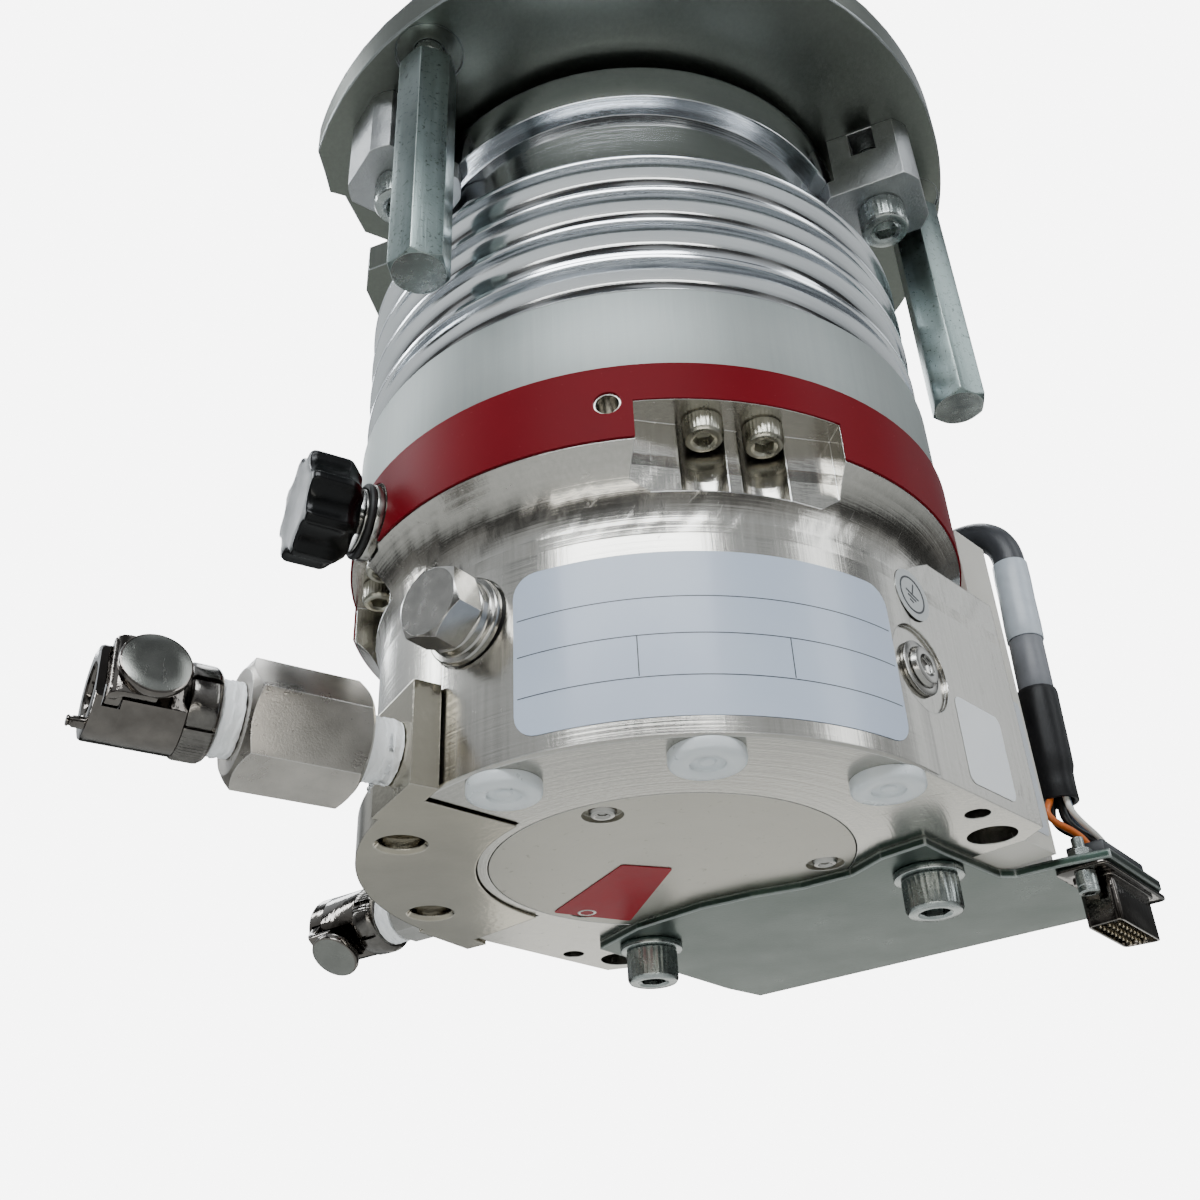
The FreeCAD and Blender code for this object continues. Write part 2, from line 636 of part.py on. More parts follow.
# Cooling-water sector with two upright ends and its screws
def cooling_plate():
    low = -0.6
    high = val("cool_thick")
    body = sector(val("cool_inner"), val("cool_outer"), 180.0 - val("cool_half"), 180.0 + val("cool_half"),
                  low, high)
    shapes = [body]
    for side in (-1, 1):
        axis = fitting_axis(side)
        turn = side * val("fitting_turn")
        centre = fitting_seat(side) - axis * 3.1
        block = slab(6.0, 19.0, val("upright_height") - low, Vector(centre.x, centre.y, low), turn)
        shapes.append(block)
    body = joined(shapes)
    cutters = [rod(WALL + GAP, 30.0, Vector(0, 0, high + 0.05))]
    for turn in COOL_TURNS:
        spot = polar(val("cool_screw_circle"), turn)
        cutters.append(rod(2.9, 20.0, Vector(spot.x, spot.y, -2.0)))
        cutters.append(rod(4.9, 5.7, Vector(spot.x, spot.y, low - 0.1)))
        cutters.append(Part.makeCone(5.7, 4.9, 0.9, Vector(spot.x, spot.y, low - 0.01)))
    for side in (-1, 1):
        seat = fitting_seat(side)
        cutters.append(rod(5.2, 3.0, seat + fitting_axis(side) * 0.1, fitting_axis(side) * -1.0))
    return body.cut(cutters)


piece("cooling_plate", cooling_plate())


def cooling_screws():
    solids = []
    for turn in COOL_TURNS:
        screw = joined([rod(4.4, 2.0, Vector(0, 0, 0)), rod(2.5, 12.0, Vector(0, 0, 1.0))])
        screw = screw.cut(hexagon(3.0, 1.5, Vector(0, 0, -0.01)))
        screw.translate(polar(val("cool_screw_circle"), turn, 2.95))
        solids.append(screw)
    return Part.makeCompound(solids)


piece("cooling_screws", cooling_screws())


# Quick couplings on the cooling sector
def coupling_roll(side):
    axis = fitting_axis(side)
    flat = Vector(axis.y, -axis.x, 0) * (-1.0 if side > 0 else 1.0)
    if side < 0:
        flat = Vector(-axis.y, axis.x, 0)
    flat.normalize()
    lift = 10.0 if side < 0 else -55.0
    return flat * math.cos(math.radians(lift)) + Vector(0, 0, 1) * math.sin(math.radians(lift))


def oriented(shape, origin, axis, up):
    side = up.cross(axis)
    matrix = FreeCAD.Matrix(axis.x, side.x, up.x, origin.x, axis.y, side.y, up.y, origin.y,
                            axis.z, side.z, up.z, origin.z, 0, 0, 0, 1)
    moved = shape.copy()
    moved.Placement = Placement(matrix)
    return moved


def x_rod(radius, start, length, y=0.0, z=0.0):
    return Part.makeCylinder(radius, length, Vector(start, y, z), Vector(1, 0, 0))


def x_hexagon(flats, start, length):
    return hexagon(flats, length, Vector(start, 0, 0), Vector(1, 0, 0))


def adapter(start):
    length = val("adapter_length")
    body = x_hexagon(val("adapter_flats"), start, length)
    corner = val("adapter_flats") / math.sqrt(3.0)
    cone = lathe([(0, 0), (corner - 1.8, 0), (corner + 0.1, 1.6), (corner + 0.1, length - 1.6),
                  (corner - 1.8, length), (0, length)], Vector(start, 0, 0), Vector(1, 0, 0))
    body = body.common(cone)
    return body


def coupling_body(start):
    radius = val("coupling_radius")
    collar = x_hexagon(16.4, start, 6.2)
    collar = collar.common(lathe([(0, 0), (8.6, 0), (9.4, 0.8), (9.4, 6.2), (0, 6.2)], Vector(start, 0, 0),
                                 Vector(1, 0, 0)))
    barrel = x_rod(radius, start + 6.0, 16.0)
    tail = x_rod(val("tail_radius"), start - 9.5, 9.8)
    body = joined([collar, barrel, tail])
    slot = Part.makeBox(3.2, 13.4, 30.0, Vector(start + 17.4, -6.7, -15.0))
    flat = Part.makeBox(16.0, 14.0, 8.0, Vector(start + 6.7, -7.0, LATCH_FLAT))
    body = body.cut([slot, flat])
    body = body.cut(x_rod(val("nipple_radius"), start + 10.6, 12.0))
    body = body.cut(x_rod(val("poppet_radius") + 1.2, start + 6.9, 4.0))
    body = body.cut(x_rod(val("poppet_radius") + RUN, start - 1.0, 9.0))
    return body


LATCH_FLAT = 6.9
LATCH_TRAVEL = 2.0
POPPET_TRAVEL = 1.4


def coupling_latch(start):
    low = LATCH_FLAT + LATCH_TRAVEL + 0.1
    plate_shape = Part.makeBox(2.6, 12.8, low + 6.9, Vector(start + 17.7, -6.4, -6.4))
    plate_shape = plate_shape.cut(x_rod(val("nipple_radius") + 0.4, start + 15.0, 8.0, 0.0, 0.3))
    bridge = Part.makeBox(8.2, 12.8, 1.4, Vector(start + 12.1, -6.4, low))
    button = rod(6.5, 2.2, Vector(start + 13.4, 0, low + 1.0))
    return joined([plate_shape, bridge, button])


def coupling_poppet(start):
    body = x_rod(val("poppet_radius"), start + 1.0, 7.8)
    return joined([body, x_rod(val("poppet_radius") + 1.0, start + 8.7, 1.6)])


def coupling_set(side, prefix):
    axis = fitting_axis(side)
    up = coupling_roll(side)
    seat = fitting_seat(side)
    inner_tape = x_rod(val("tape_inner_radius"), 0.1, 7.4)
    inner_tape = inner_tape.fuse(x_rod(5.1, -2.7, 3.0)).removeSplitter()
    if side < 0:
        hex_start = 7.6
        start = hex_start + val("adapter_length") + 4.3
        hose = adapter(hex_start).cut(x_rod(val("tail_radius") + SEAT, start - 9.7, 12.0))
        TAPES.append(oriented(inner_tape, seat, axis, up))
        piece("hose_adapter", oriented(hose, seat, axis, up))
        outer = x_rod(val("tape_outer_radius"), hex_start + val("adapter_length") + 0.1, 4.1)
        outer = outer.cut(x_rod(val("tail_radius") + SEAT, start - 9.7, 12.0))
        TAPES.append(oriented(outer, seat, axis, up))
    else:
        extension = x_hexagon(14.0, 0.1, 13.0)
        extension = extension.fuse(x_rod(5.1, -2.7, 3.0)).removeSplitter()
        start = 13.2 + 4.6
        extension = extension.cut(x_rod(val("tail_radius") + SEAT, start - 9.6, 12.0))
        piece("rear_adapter", oriented(extension, seat, axis, up))
        outer = x_rod(val("tape_outer_radius"), 13.2, 4.5)
        outer = outer.cut(x_rod(val("tail_radius") + SEAT, start - 9.7, 12.0))
        TAPES.append(oriented(outer, seat, axis, up))
    body = coupling_body(start)
    pin = x_rod(1.1, start + 21.0, 4.0, 6.9, 0.0)
    body = body.fuse(pin).removeSplitter()
    piece("coupling_" + prefix, oriented(body, seat, axis, up))
    piece("latch_" + prefix, oriented(coupling_latch(start), seat, axis, up))
    piece("poppet_" + prefix, oriented(coupling_poppet(start), seat, axis, up))
    print("coupling", prefix, "axis", tuple(axis), "up", tuple(up), "seat", tuple(seat), "start", start)


TAPES = []
coupling_set(-1, "front")
coupling_set(1, "rear")
piece("thread_tapes", Part.makeCompound(TAPES))

# Connector bracket under the drive, sketched from its outline
BRACKET_OUTLINE = [(-17.5, 52.7), (-8.0, 38.0), (7.3, 24.6), (19.0, 18.0), (30.2, 13.7), (40.9, 6.5),
                   (46.1, -3.6), (54.6, -11.5), (60.3, -4.8), (76.5, 12.1), (80.2, 12.6), (88.9, 6.6),
                   (98.8, 1.6), (118.7, 26.3), (120.1, 37.5), (115.6, 40.7), (28.3, 106.3), (18.3, 97.0),
                   (4.0, 79.3)]


def connector_point(along, across):
    angle = math.radians(val("connector_turn"))
    return Vector(val("connector_x") + along * math.cos(angle) - across * math.sin(angle),
                  val("connector_y") + along * math.sin(angle) + across * math.cos(angle), 0)


def rect_points(half_long, half_short):
    return [tuple(connector_point(a, b))[:2] for a, b in ((-half_long, -half_short), (half_long, -half_short),
                                                         (half_long, half_short), (-half_long, half_short))]


JACK_SPAN = 16.65
bracket = new_body("connector_bracket")
bracket_sketch = new_sketch(bracket, "bracket_outline")
sketch_polygon(bracket_sketch, BRACKET_OUTLINE)
for x, y in BRACKET_SCREWS:
    sketch_circle(bracket_sketch, x, y, val("screw_eight") + GAP)
sketch_polygon(bracket_sketch, rect_points(13.4, 5.2))
for end in (-1, 1):
    spot = connector_point(end * JACK_SPAN, 0)
    sketch_circle(bracket_sketch, spot.x, spot.y, 1.6)
pad(bracket, bracket_sketch, "bracket_sheet", val("bracket_thick"), "bracket_thick")
place_body("connector_bracket", bracket, Vector(0, 0, -val("bracket_thick") - 0.05))


def bracket_screws():
    washer_low = -val("bracket_thick") - 0.1 - val("washer_thick")
    screws = []
    for x, y in BRACKET_SCREWS:
        screw = cap_screw(val("screw_eight"), val("head_eight"), val("socket_eight"), 8.0, 18.0)
        screw.translate(Vector(x, y, washer_low - 0.05))
        screws.append(screw)
    piece("bracket_screws", Part.makeCompound(screws))
    rings = [tube(val("washer_radius"), val("screw_eight") + GAP, washer_low, washer_low + val("washer_thick"), x, y)
             for x, y in BRACKET_SCREWS]
    piece("bracket_washers", Part.makeCompound(rings))


bracket_screws()


# Connector on the bracket
def d_outline(half_long, half_short, slope, low, high):
    points = [connector_point(-half_long, -half_short), connector_point(half_long, -half_short),
              connector_point(half_long - slope, half_short), connector_point(-half_long + slope, half_short)]
    return prism([tuple(p)[:2] for p in points], low, high)


def connector_parts():
    under = -val("bracket_thick") - 0.1
    face = prism(rect_points(19.5, 6.2), under - 1.0, under)
    shell = d_outline(12.6, 4.3, 1.2, under - 12.0, under - 0.9)
    skirt = joined([face, shell])
    skirt = skirt.cut([d_outline(11.9, 3.6, 1.0, under - 13.0, under + 1.0)])
    for end in (-1, 1):
        skirt = skirt.cut(rod(1.6, 6.0, connector_point(end * JACK_SPAN, 0) + Vector(0, 0, under - 3.0)))
    piece("connector_shell", skirt)
    insert = joined([d_outline(11.8, 3.5, 1.0, under - 10.6, 1.0), prism(rect_points(12.6, 4.6), 0.2, 5.0)])
    piece("connector_insert", insert)
    solids = []
    for end in (-1, 1):
        spot = connector_point(end * JACK_SPAN, 0)
        nut = hexagon(4.8, 5.2, Vector(spot.x, spot.y, under - 6.25), Vector(0, 0, 1))
        stud = rod(1.5, 9.0, Vector(spot.x, spot.y, under - 4.0))
        back = hexagon(5.0, 2.0, Vector(spot.x, spot.y, 0.05), Vector(0, 0, 1))
        solids.append(joined([nut, stud, back]))
    piece("jack_screws", Part.makeCompound(solids))


connector_parts()


# Drive unit on the flat rear side
def drive_unit():
    face = val("drive_face") + GAP
    half = val("drive_half")
    depth = val("drive_depth")
    frame_points = [drive_point(a, c) for a, c in ((face, -half), (face + depth, -half), (face + depth, half),
                                                   (face, half))]
    frame_solid = prism([tuple(p)[:2] for p in frame_points], 0.2, val("drive_top"))
    box_half = val("box_half")
    box_points = [drive_point(a, c) for a, c in ((face + depth - 1.0, -box_half), (val("box_back"), -box_half),
                                                 (val("box_back"), box_half), (face + depth - 1.0, box_half))]
    box = prism([tuple(p)[:2] for p in box_points], 0.2, val("drive_top"))
    body = joined([frame_solid, box])
    body = body.cut([rod(RIM + 1.0, 60.0, Vector(0, 0, val("block_top") - 0.2))])
    inside = [drive_point(a, c) for a, c in ((face + depth + 2.0, -box_half + 3.0),
                                             (val("box_back") + 1.0, -box_half + 3.0),
                                             (val("box_back") + 1.0, box_half - 3.0),
                                             (face + depth + 2.0, box_half - 3.0))]
    hollow = prism([tuple(p)[:2] for p in inside], 4.0, val("drive_top") - 4.0)
    body = body.cut([hollow.cut(rod(RIM + 4.0, 90.0, Vector(0, 0, 0)))])
    cutters = []
    for side in (-1, 1):
        for level in DRIVE_SCREW_LEVELS:
            spot = drive_point(face - 1.0, side * DRIVE_SCREW_SIDE, level)
            cutters.append(rod(2.3, 20.0, spot, drive_point(1.0, 0)))
    cutters.append(rod(val("cable_radius") + SEAT, 10.0, drive_point(CABLE_ALONG, CABLE_ACROSS, val("drive_top") - 6.0)))
    return body.cut(cutters)


CABLE_ALONG = 78.0
CABLE_ACROSS = 31.0
piece("drive_unit", drive_unit())


def drive_cover():
    back = val("box_back")
    half = val("box_half")
    points = [drive_point(a, c) for a, c in ((back + 0.1, -half), (back + 3.1, -half), (back + 3.1, half),
                                             (back + 0.1, half))]
    body = prism([tuple(p)[:2] for p in points], 0.2, val("drive_top"))
    cutters = []
    for side in (-1, 1):
        for level in (8.0, val("drive_top") - 8.0):
            cutters.append(rod(1.7, 8.0, drive_point(back - 1.0, side * (half - 1.6), level), drive_point(1.0, 0)))
    for index in range(5):
        slot_points = [drive_point(a, c) for a, c in ((back - 1.0, -14.0), (back + 5.0, -14.0), (back + 5.0, 14.0),
                                                      (back - 1.0, 14.0))]
        cutters.append(prism([tuple(p)[:2] for p in slot_points], 30.0 + 7.0 * index, 33.0 + 7.0 * index))
    return body.cut(cutters)


piece("drive_cover", drive_cover())


def drive_screws():
    solids = []
    for side in (-1, 1):
        for level in DRIVE_SCREW_LEVELS:
            seat = drive_point(val("drive_face") + GAP + val("drive_depth") + 0.05, side * DRIVE_SCREW_SIDE, level)
            outward = drive_point(1.0, 0)
            head = rod(3.5, 4.0, seat, outward)
            head = head.cut(hexagon(3.0, 2.2, seat + outward * 1.9, outward))
            shank = rod(2.0, val("drive_depth") + 7.0, seat + outward * 0.1, outward * -1.0)
            solids.append(joined([head, shank]))
    return Part.makeCompound(solids)


piece("drive_screws", drive_screws())


# Cords as straight runs with tangent bends
def cord_wire(points):
    edges = []
    start = points[0]
    lengths = []
    for index in range(1, len(points) - 1):
        before = points[index] - points[index - 1]
        after = points[index + 1] - points[index]
        turn = before.getAngle(after)
        radius = 0.45 * min(before.Length, after.Length) / math.tan(turn / 2.0)
        radius = min(radius, 12.8)
        setback = radius * math.tan(turn / 2.0)
        first = points[index] - Vector(before).normalize() * setback
        second = points[index] + Vector(after).normalize() * setback
        bisector = (Vector(after).normalize() - Vector(before).normalize()).normalize()
        centre = points[index] + bisector * (radius / math.cos(turn / 2.0))
        middle = centre - bisector * radius
        edges.append(Part.makeLine(start, first))
        edges.append(Part.Arc(first, middle, second).toShape())
        lengths.append(round(radius, 2))
        start = second
    edges.append(Part.makeLine(start, points[-1]))
    return Part.Wire(edges), lengths


def cord(points, radius, name):
    wire, bends = cord_wire(points)
    direction = points[1] - points[0]
    circle = Part.Wire([Part.makeCircle(radius, points[0], direction)])
    solid = wire.makePipeShell([circle], True, False, 2)
    expected = math.pi * radius * radius * wire.Length
    print("cord", name, "bend radii", bends, "volume ratio", round(solid.Volume / expected, 4))
    return solid


def cable_parts():
    start = drive_point(CABLE_ALONG, CABLE_ACROSS, val("drive_top") - 3.0)
    top = 99.6
    drop = Vector(98.4, 15.6, top)
    low = Vector(95.6, 15.4, 19.8)
    route = [start, Vector(start.x, start.y, top), drop, low]
    piece("cable", cord(route, val("cable_radius"), "cable"))
    down = low - drop
    down.normalize()

    def sleeve(high, bottom, outer):
        a = drop + down * ((top - high) / -down.z)
        length = (high - bottom) / -down.z
        return rod(outer, length, a, down).cut(rod(val("cable_radius") + 0.04, length, a, down))

    piece("cable_sleeve", sleeve(85.5, 62.0, val("cable_radius") + 0.45))
    piece("cable_shrink", sleeve(47.0, 17.0, val("cable_radius") + 1.0))
    wires = []
    for offset, end in ((-2.2, -7.5), (0.0, 0.5), (2.2, 8.0)):
        first = low + Vector(offset * 0.55, offset * 0.55, -0.7)
        bend = low + Vector(offset * 0.75, offset * 0.75, -5.0)
        target = connector_point(end, 0.0) + Vector(0, 0, 5.5)
        wires.append(cord([first, bend, target + Vector(-1.5, -1.0, 4.5), target], 0.95, "wire"))
    piece("cable_wires", Part.makeCompound(wires))


cable_parts()

# Bladed rotor: hub, tilted blades in stages, drag sleeve
ROTOR_STAGES = ((163.0, 12.0, 42.0), (148.0, 10.0, 36.0), (134.5, 8.0, 30.0), (122.5, 7.0, 25.0),
                (111.5, 6.0, 22.0), (101.5, 5.5, 20.0))


def tilted_blade(inner, outer, height, tilt, centre_level):
    chord = height / math.sin(math.radians(tilt + 8.0))
    blade = Part.makeBox(outer - inner, val("blade_thick"), chord,
                         Vector(inner, -val("blade_thick") / 2.0, -chord / 2.0))
    blade.rotate(Vector(0, 0, 0), Vector(1, 0, 0), 90.0 - tilt)
    blade.translate(Vector(0, 0, centre_level))
    return blade


def rotor():
    hub = val("hub_radius")
    bore = val("shaft_radius") + 0.02
    hub_solid = lathe([(bore, 92.0), (hub + 6.0, 92.0), (hub + 6.0, 95.0), (hub, 97.0), (hub, 166.0), (17.0, 170.0),
                       (13.5, 170.0), (13.5, 156.0), (bore, 156.0)])
    blades = []
    for level, height, tilt in ROTOR_STAGES:
        ring = rod(val("rotor_radius"), height, Vector(0, 0, level - height / 2.0))
        for index in range(int(val("blade_count"))):
            blade = tilted_blade(hub - 1.5, val("rotor_radius") + 1.0, height, tilt, level)
            blade = blade.common(ring)
            blade.rotate(Vector(0, 0, 0), Vector(0, 0, 1), 360.0 / val("blade_count") * index)
            blades.append(blade)
    sleeve = lathe([(hub + 4.0, 88.0), (46.4, 88.0), (46.4, 64.0), (44.4, 64.0), (44.4, 86.0), (hub + 4.0, 86.0)])
    foot = lathe([(bore, 86.0), (hub + 5.0, 86.0), (hub + 5.0, 92.5), (bore, 92.5)])
    return hub_solid.fuse(blades + [sleeve, foot])


piece("rotor", rotor())

# Shaft, motor magnet and bearing ring that turn with the rotor
shaft = lathe([(0, 13.0), (3.6, 13.0), (3.6, 14.5), (4.0, 14.5), (4.0, 23.0), (val("shaft_radius"), 23.0),
               (val("shaft_radius"), 158.0), (4.0, 160.0), (0, 160.0)])
piece("shaft", shaft)
piece("motor_magnet", tube(11.0, val("shaft_radius") + 0.02, 36.0, 56.0))
ball_count = 8
balls = [Part.makeSphere(1.3, polar(7.4, 360.0 / ball_count * i, 18.5)) for i in range(ball_count)]
inner_race = tube(6.05, 4.02, 15.0, 22.0)
piece("bearing_inner", Part.makeCompound([inner_race] + balls))
piece("magnet_rotor", tube(13.4, 9.0, 156.2, 169.6))

# Motor coils, bearing seat, oil parts
coil_ring = tube(27.9, 11.7, 33.0, 59.0)
coil_slots = [slab(20.0, 2.4, 20.0, polar(16.0, 60.0 * i, 36.0), 60.0 * i) for i in range(6)]
piece("motor_coils", coil_ring.cut([slot.common(tube(25.0, 10.0, 30.0, 62.0)) for slot in coil_slots]))
piece("bearing_outer", tube(11.4, 8.75, 15.0, 22.0).fuse(tube(11.9, 9.4, 22.0, 24.0)).removeSplitter())
wick = tube(11.4, 4.6, 7.0, 12.4)
piece("oil_wick", wick)


# Stator discs and spacer rings between the rotor stages
def stator_disc(low, high):
    outer = 52.4
    inner = val("hub_radius") + 0.8
    rim = tube(outer, val("rotor_radius") + 0.8, low, high)
    hub_ring = tube(inner + 1.6, inner, low, high)
    vanes = []
    height = high - low
    ring = tube(outer - 1.0, inner + 0.6, low, high)
    for index in range(int(val("vane_count"))):
        vane = tilted_blade(inner + 0.4, outer - 0.5, height, 38.0, (low + high) / 2.0)
        vane = vane.mirror(Vector(0, 0, (low + high) / 2.0), Vector(0, 0, 1)).common(ring)
        vane.rotate(Vector(0, 0, 0), Vector(0, 0, 1), 360.0 / val("vane_count") * index)
        vanes.append(vane)
    return rim.fuse([hub_ring] + vanes)


GAPS = []
for upper_stage, lower_stage in zip(ROTOR_STAGES[:-1], ROTOR_STAGES[1:]):
    top_level = upper_stage[0] - upper_stage[1] / 2.0 - 0.7
    low_level = lower_stage[0] + lower_stage[1] / 2.0 + 0.7
    GAPS.append((low_level, top_level))
piece("stator_discs", Part.makeCompound([stator_disc(low_level, top_level) for low_level, top_level in GAPS]))

rings = []
outer_ring = val("stack_bore") - SEAT
levels = [91.0] + [level for pair in reversed(GAPS) for level in pair] + [178.0]
for index in range(0, len(levels), 2):
    rings.append(tube(outer_ring, val("rotor_radius") + 0.8, levels[index] + 0.05, levels[index + 1] - 0.05))
for low_level, top_level in GAPS:
    rings.append(tube(outer_ring, 52.5, low_level - 0.04, top_level + 0.04))
spacer_body = rings[0]
spacer_body = spacer_body.fuse(rings[1:]).removeSplitter()
piece("spacer_rings", spacer_body)

# Drag-stage stator round the sleeve
holweck = tube(49.7, 47.0, 62.0, 81.6)
threads = []
for index in range(8):
    rib = slab(1.9, 2.0, 18.6, polar(46.95 + 0.3, 45.0 * index, 62.5), 45.0 * index)
    threads.append(rib.common(tube(48.0, 46.8, 60.0, 84.0)))
holweck = holweck.fuse(threads).removeSplitter()
piece("drag_stator", holweck)


# Upper magnet bearing carrier with three arms, magnets and splinter screen
def bearing_star():
    ring_top = SCREEN_SEAT - 0.1
    low = SCREEN_SEAT - 7.0
    outer = tube(val("stack_bore") - SEAT, 49.0, low + 2.0, ring_top)
    hub = rod(8.6, 8.0, Vector(0, 0, low - 1.0))
    arms = []
    for index in range(3):
        arm = Part.makeBox(43.0, 3.2, 4.6, Vector(7.5, -1.6, low + 2.0))
        arm.rotate(Vector(0, 0, 0), Vector(0, 0, 1), 120.0 * index + 30.0)
        arms.append(arm)
    stem = rod(4.0, 15.0, Vector(0, 0, 161.0))
    return joined([outer, hub, stem] + [arm.common(rod(50.0, 40.0, Vector(0, 0, 160.0))) for arm in arms])


piece("bearing_star", bearing_star())
piece("magnet_stator", tube(8.2, 4.02, 161.2, 174.6))


def splinter_screen():
    level = SCREEN_SEAT + 0.05
    rim = tube(val("screen_radius"), 48.6, level, level + 1.2)
    bars = []
    for index in range(-4, 5):
        offset = index * 10.5
        reach = math.sqrt(max(49.6 ** 2 - offset ** 2, 1.0))
        bars.append(Part.makeBox(2 * reach, 0.7, 0.6, Vector(-reach, offset - 0.35, level + 0.1)))
        bars.append(Part.makeBox(0.7, 2 * reach, 0.6, Vector(offset - 0.35, -reach, level + 0.5)))
    return joined([rim] + bars)


piece("splinter_screen", splinter_screen())

# Centring ring with its rubber ring at the inlet joint
ring_inner = val("inlet_radius") + 0.05
ring_outer = val("spigot_radius") - SEAT
centring = lathe([(ring_outer, FLANGE_TOP - 3.0), (ring_inner, FLANGE_TOP - 3.0), (ring_inner, PLATE_UNDER + 3.0),
                  (ring_outer, PLATE_UNDER + 3.0), (ring_outer, PLATE_UNDER - 0.1), (53.2, PLATE_UNDER - 0.1),
                  (53.2, FLANGE_TOP + 0.1), (ring_outer, FLANGE_TOP + 0.1)])
piece("centring_ring", centring)
inlet_seal = lathe([(53.3, FLANGE_TOP + 0.15), (57.9, FLANGE_TOP + 0.15), (58.6, FLANGE_TOP + 1.2),
                    (58.6, PLATE_UNDER - 1.2), (57.9, PLATE_UNDER - 0.15), (53.3, PLATE_UNDER - 0.15)])
piece("inlet_seal", inlet_seal)


# Fore-vacuum branch at the rear
def fore_port():
    axis = drive_point(0, -1.0)
    start = drive_point(PORT_ALONG, -val("side_offset") + 9.1, PORT_LEVEL)
    return lathe([(6.0, 0), (8.0, 0), (8.0, 9.4), (10.0, 9.4), (10.0, 11.5), (8.6, 11.5), (8.6, 28.0), (10.2, 29.6),
                  (14.2, 31.4), (15.0, 31.4), (15.0, 34.0), (8.1, 34.0), (8.1, 31.5), (6.0, 31.5)], start, axis)


piece("fore_port", fore_port())

doc.recompute()

# Checks on every object, then one file for each named piece
for item in doc.Objects:
    state = list(item.State)
    if "Invalid" in state or "Error" in state:
        raise RuntimeError("object in a bad state: " + item.Name)
for label, feature in parts.items():
    shape = feature.Shape
    if shape.isNull() or not shape.isValid():
        raise RuntimeError("shape not usable: " + label)
    for solid in shape.Solids:
        if not solid.isClosed():
            raise RuntimeError("open solid: " + label)
    shape.exportStep("parts/%s.step" % label)
print("pieces written:", len(parts))
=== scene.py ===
import math

import bmesh
import bpy
from mathutils import Matrix, Vector, noise


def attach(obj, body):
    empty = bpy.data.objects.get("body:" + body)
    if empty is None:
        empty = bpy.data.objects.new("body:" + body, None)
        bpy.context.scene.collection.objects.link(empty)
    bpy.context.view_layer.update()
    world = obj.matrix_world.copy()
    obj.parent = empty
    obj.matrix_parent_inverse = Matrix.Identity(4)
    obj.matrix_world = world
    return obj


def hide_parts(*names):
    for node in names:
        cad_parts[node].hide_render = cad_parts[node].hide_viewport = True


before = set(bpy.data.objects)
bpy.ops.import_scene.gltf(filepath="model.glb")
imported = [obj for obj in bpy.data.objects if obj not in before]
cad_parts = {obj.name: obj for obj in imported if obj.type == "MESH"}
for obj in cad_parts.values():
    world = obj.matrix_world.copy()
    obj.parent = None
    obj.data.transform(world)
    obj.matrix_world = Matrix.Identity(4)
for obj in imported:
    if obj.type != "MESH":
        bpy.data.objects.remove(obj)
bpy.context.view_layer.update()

bl_info = {
    "name": "Turbomolecular pump",
    "version": (1, 0, 0),
    "blender": (4, 5, 0),
    "location": "View3D > Sidebar > Pump",
    "description": "Dresses the pump's frame with its visible pieces and finishes",
    "category": "Object",
}

MM = 0.001
UP = (0.0, 0.0, 1.0)
DOWN = (0.0, 0.0, -1.0)
PLATE_TOP = 209.0
# Millimetres over the housing's underside, brought to metres in the frame whose zero is the inlet plate's top
BASE = Matrix.Scale(MM, 4) @ Matrix.Translation((0.0, 0.0, -PLATE_TOP))
DRIVE_TURN = math.radians(46.0)
CONNECTOR_TURN = math.radians(51.0)
CONNECTOR_PLACE = (104.9, 20.8)
# Corners nearer to each other than this become one
WELD = 0.0005


# Places
def polar(radius, turn, level=0.0):
    angle = math.radians(turn)
    return Vector((radius * math.cos(angle), radius * math.sin(angle), level))


def drive_point(along, across, level=0.0):
    cos, sin = math.cos(DRIVE_TURN), math.sin(DRIVE_TURN)
    return Vector((along * cos + across * sin, along * sin - across * cos, level))


def connector_point(along, across, level=0.0):
    cos, sin = math.cos(CONNECTOR_TURN), math.sin(CONNECTOR_TURN)
    x, y = CONNECTOR_PLACE
    return Vector((x + along * cos - across * sin, y + along * sin + across * cos, level))


def seat(origin, axis=UP, side=None):
    """The turn and place that bring local millimetres, z along axis and x near side, to the pump."""
    z = Vector(axis).normalized()
    near = Vector(side) if side is not None else (Vector(UP) if abs(z.z) < 0.9 else Vector((1, 0, 0)))
    x = (near - z * near.dot(z)).normalized()
    return Matrix.Translation(origin) @ Matrix((x, z.cross(x), z)).transposed().to_4x4()


# Mesh work
def reach_of(vert):
    return math.hypot(vert.co.x, vert.co.y)


def turn_of(vert):
    return math.atan2(vert.co.y, vert.co.x)


def pull(vert, share):
    """Moves a corner towards the z axis or away from it."""
    vert.co.x *= share
    vert.co.y *= share


def thicken(bm, height):
    """Gives a flat sheet its thickness."""
    made = bmesh.ops.extrude_face_region(bm, geom=bm.faces[:])["geom"]
    bmesh.ops.translate(bm, vec=(0, 0, height), verts=[v for v in made if isinstance(v, bmesh.types.BMVert)])
    bmesh.ops.recalc_face_normals(bm, faces=bm.faces)


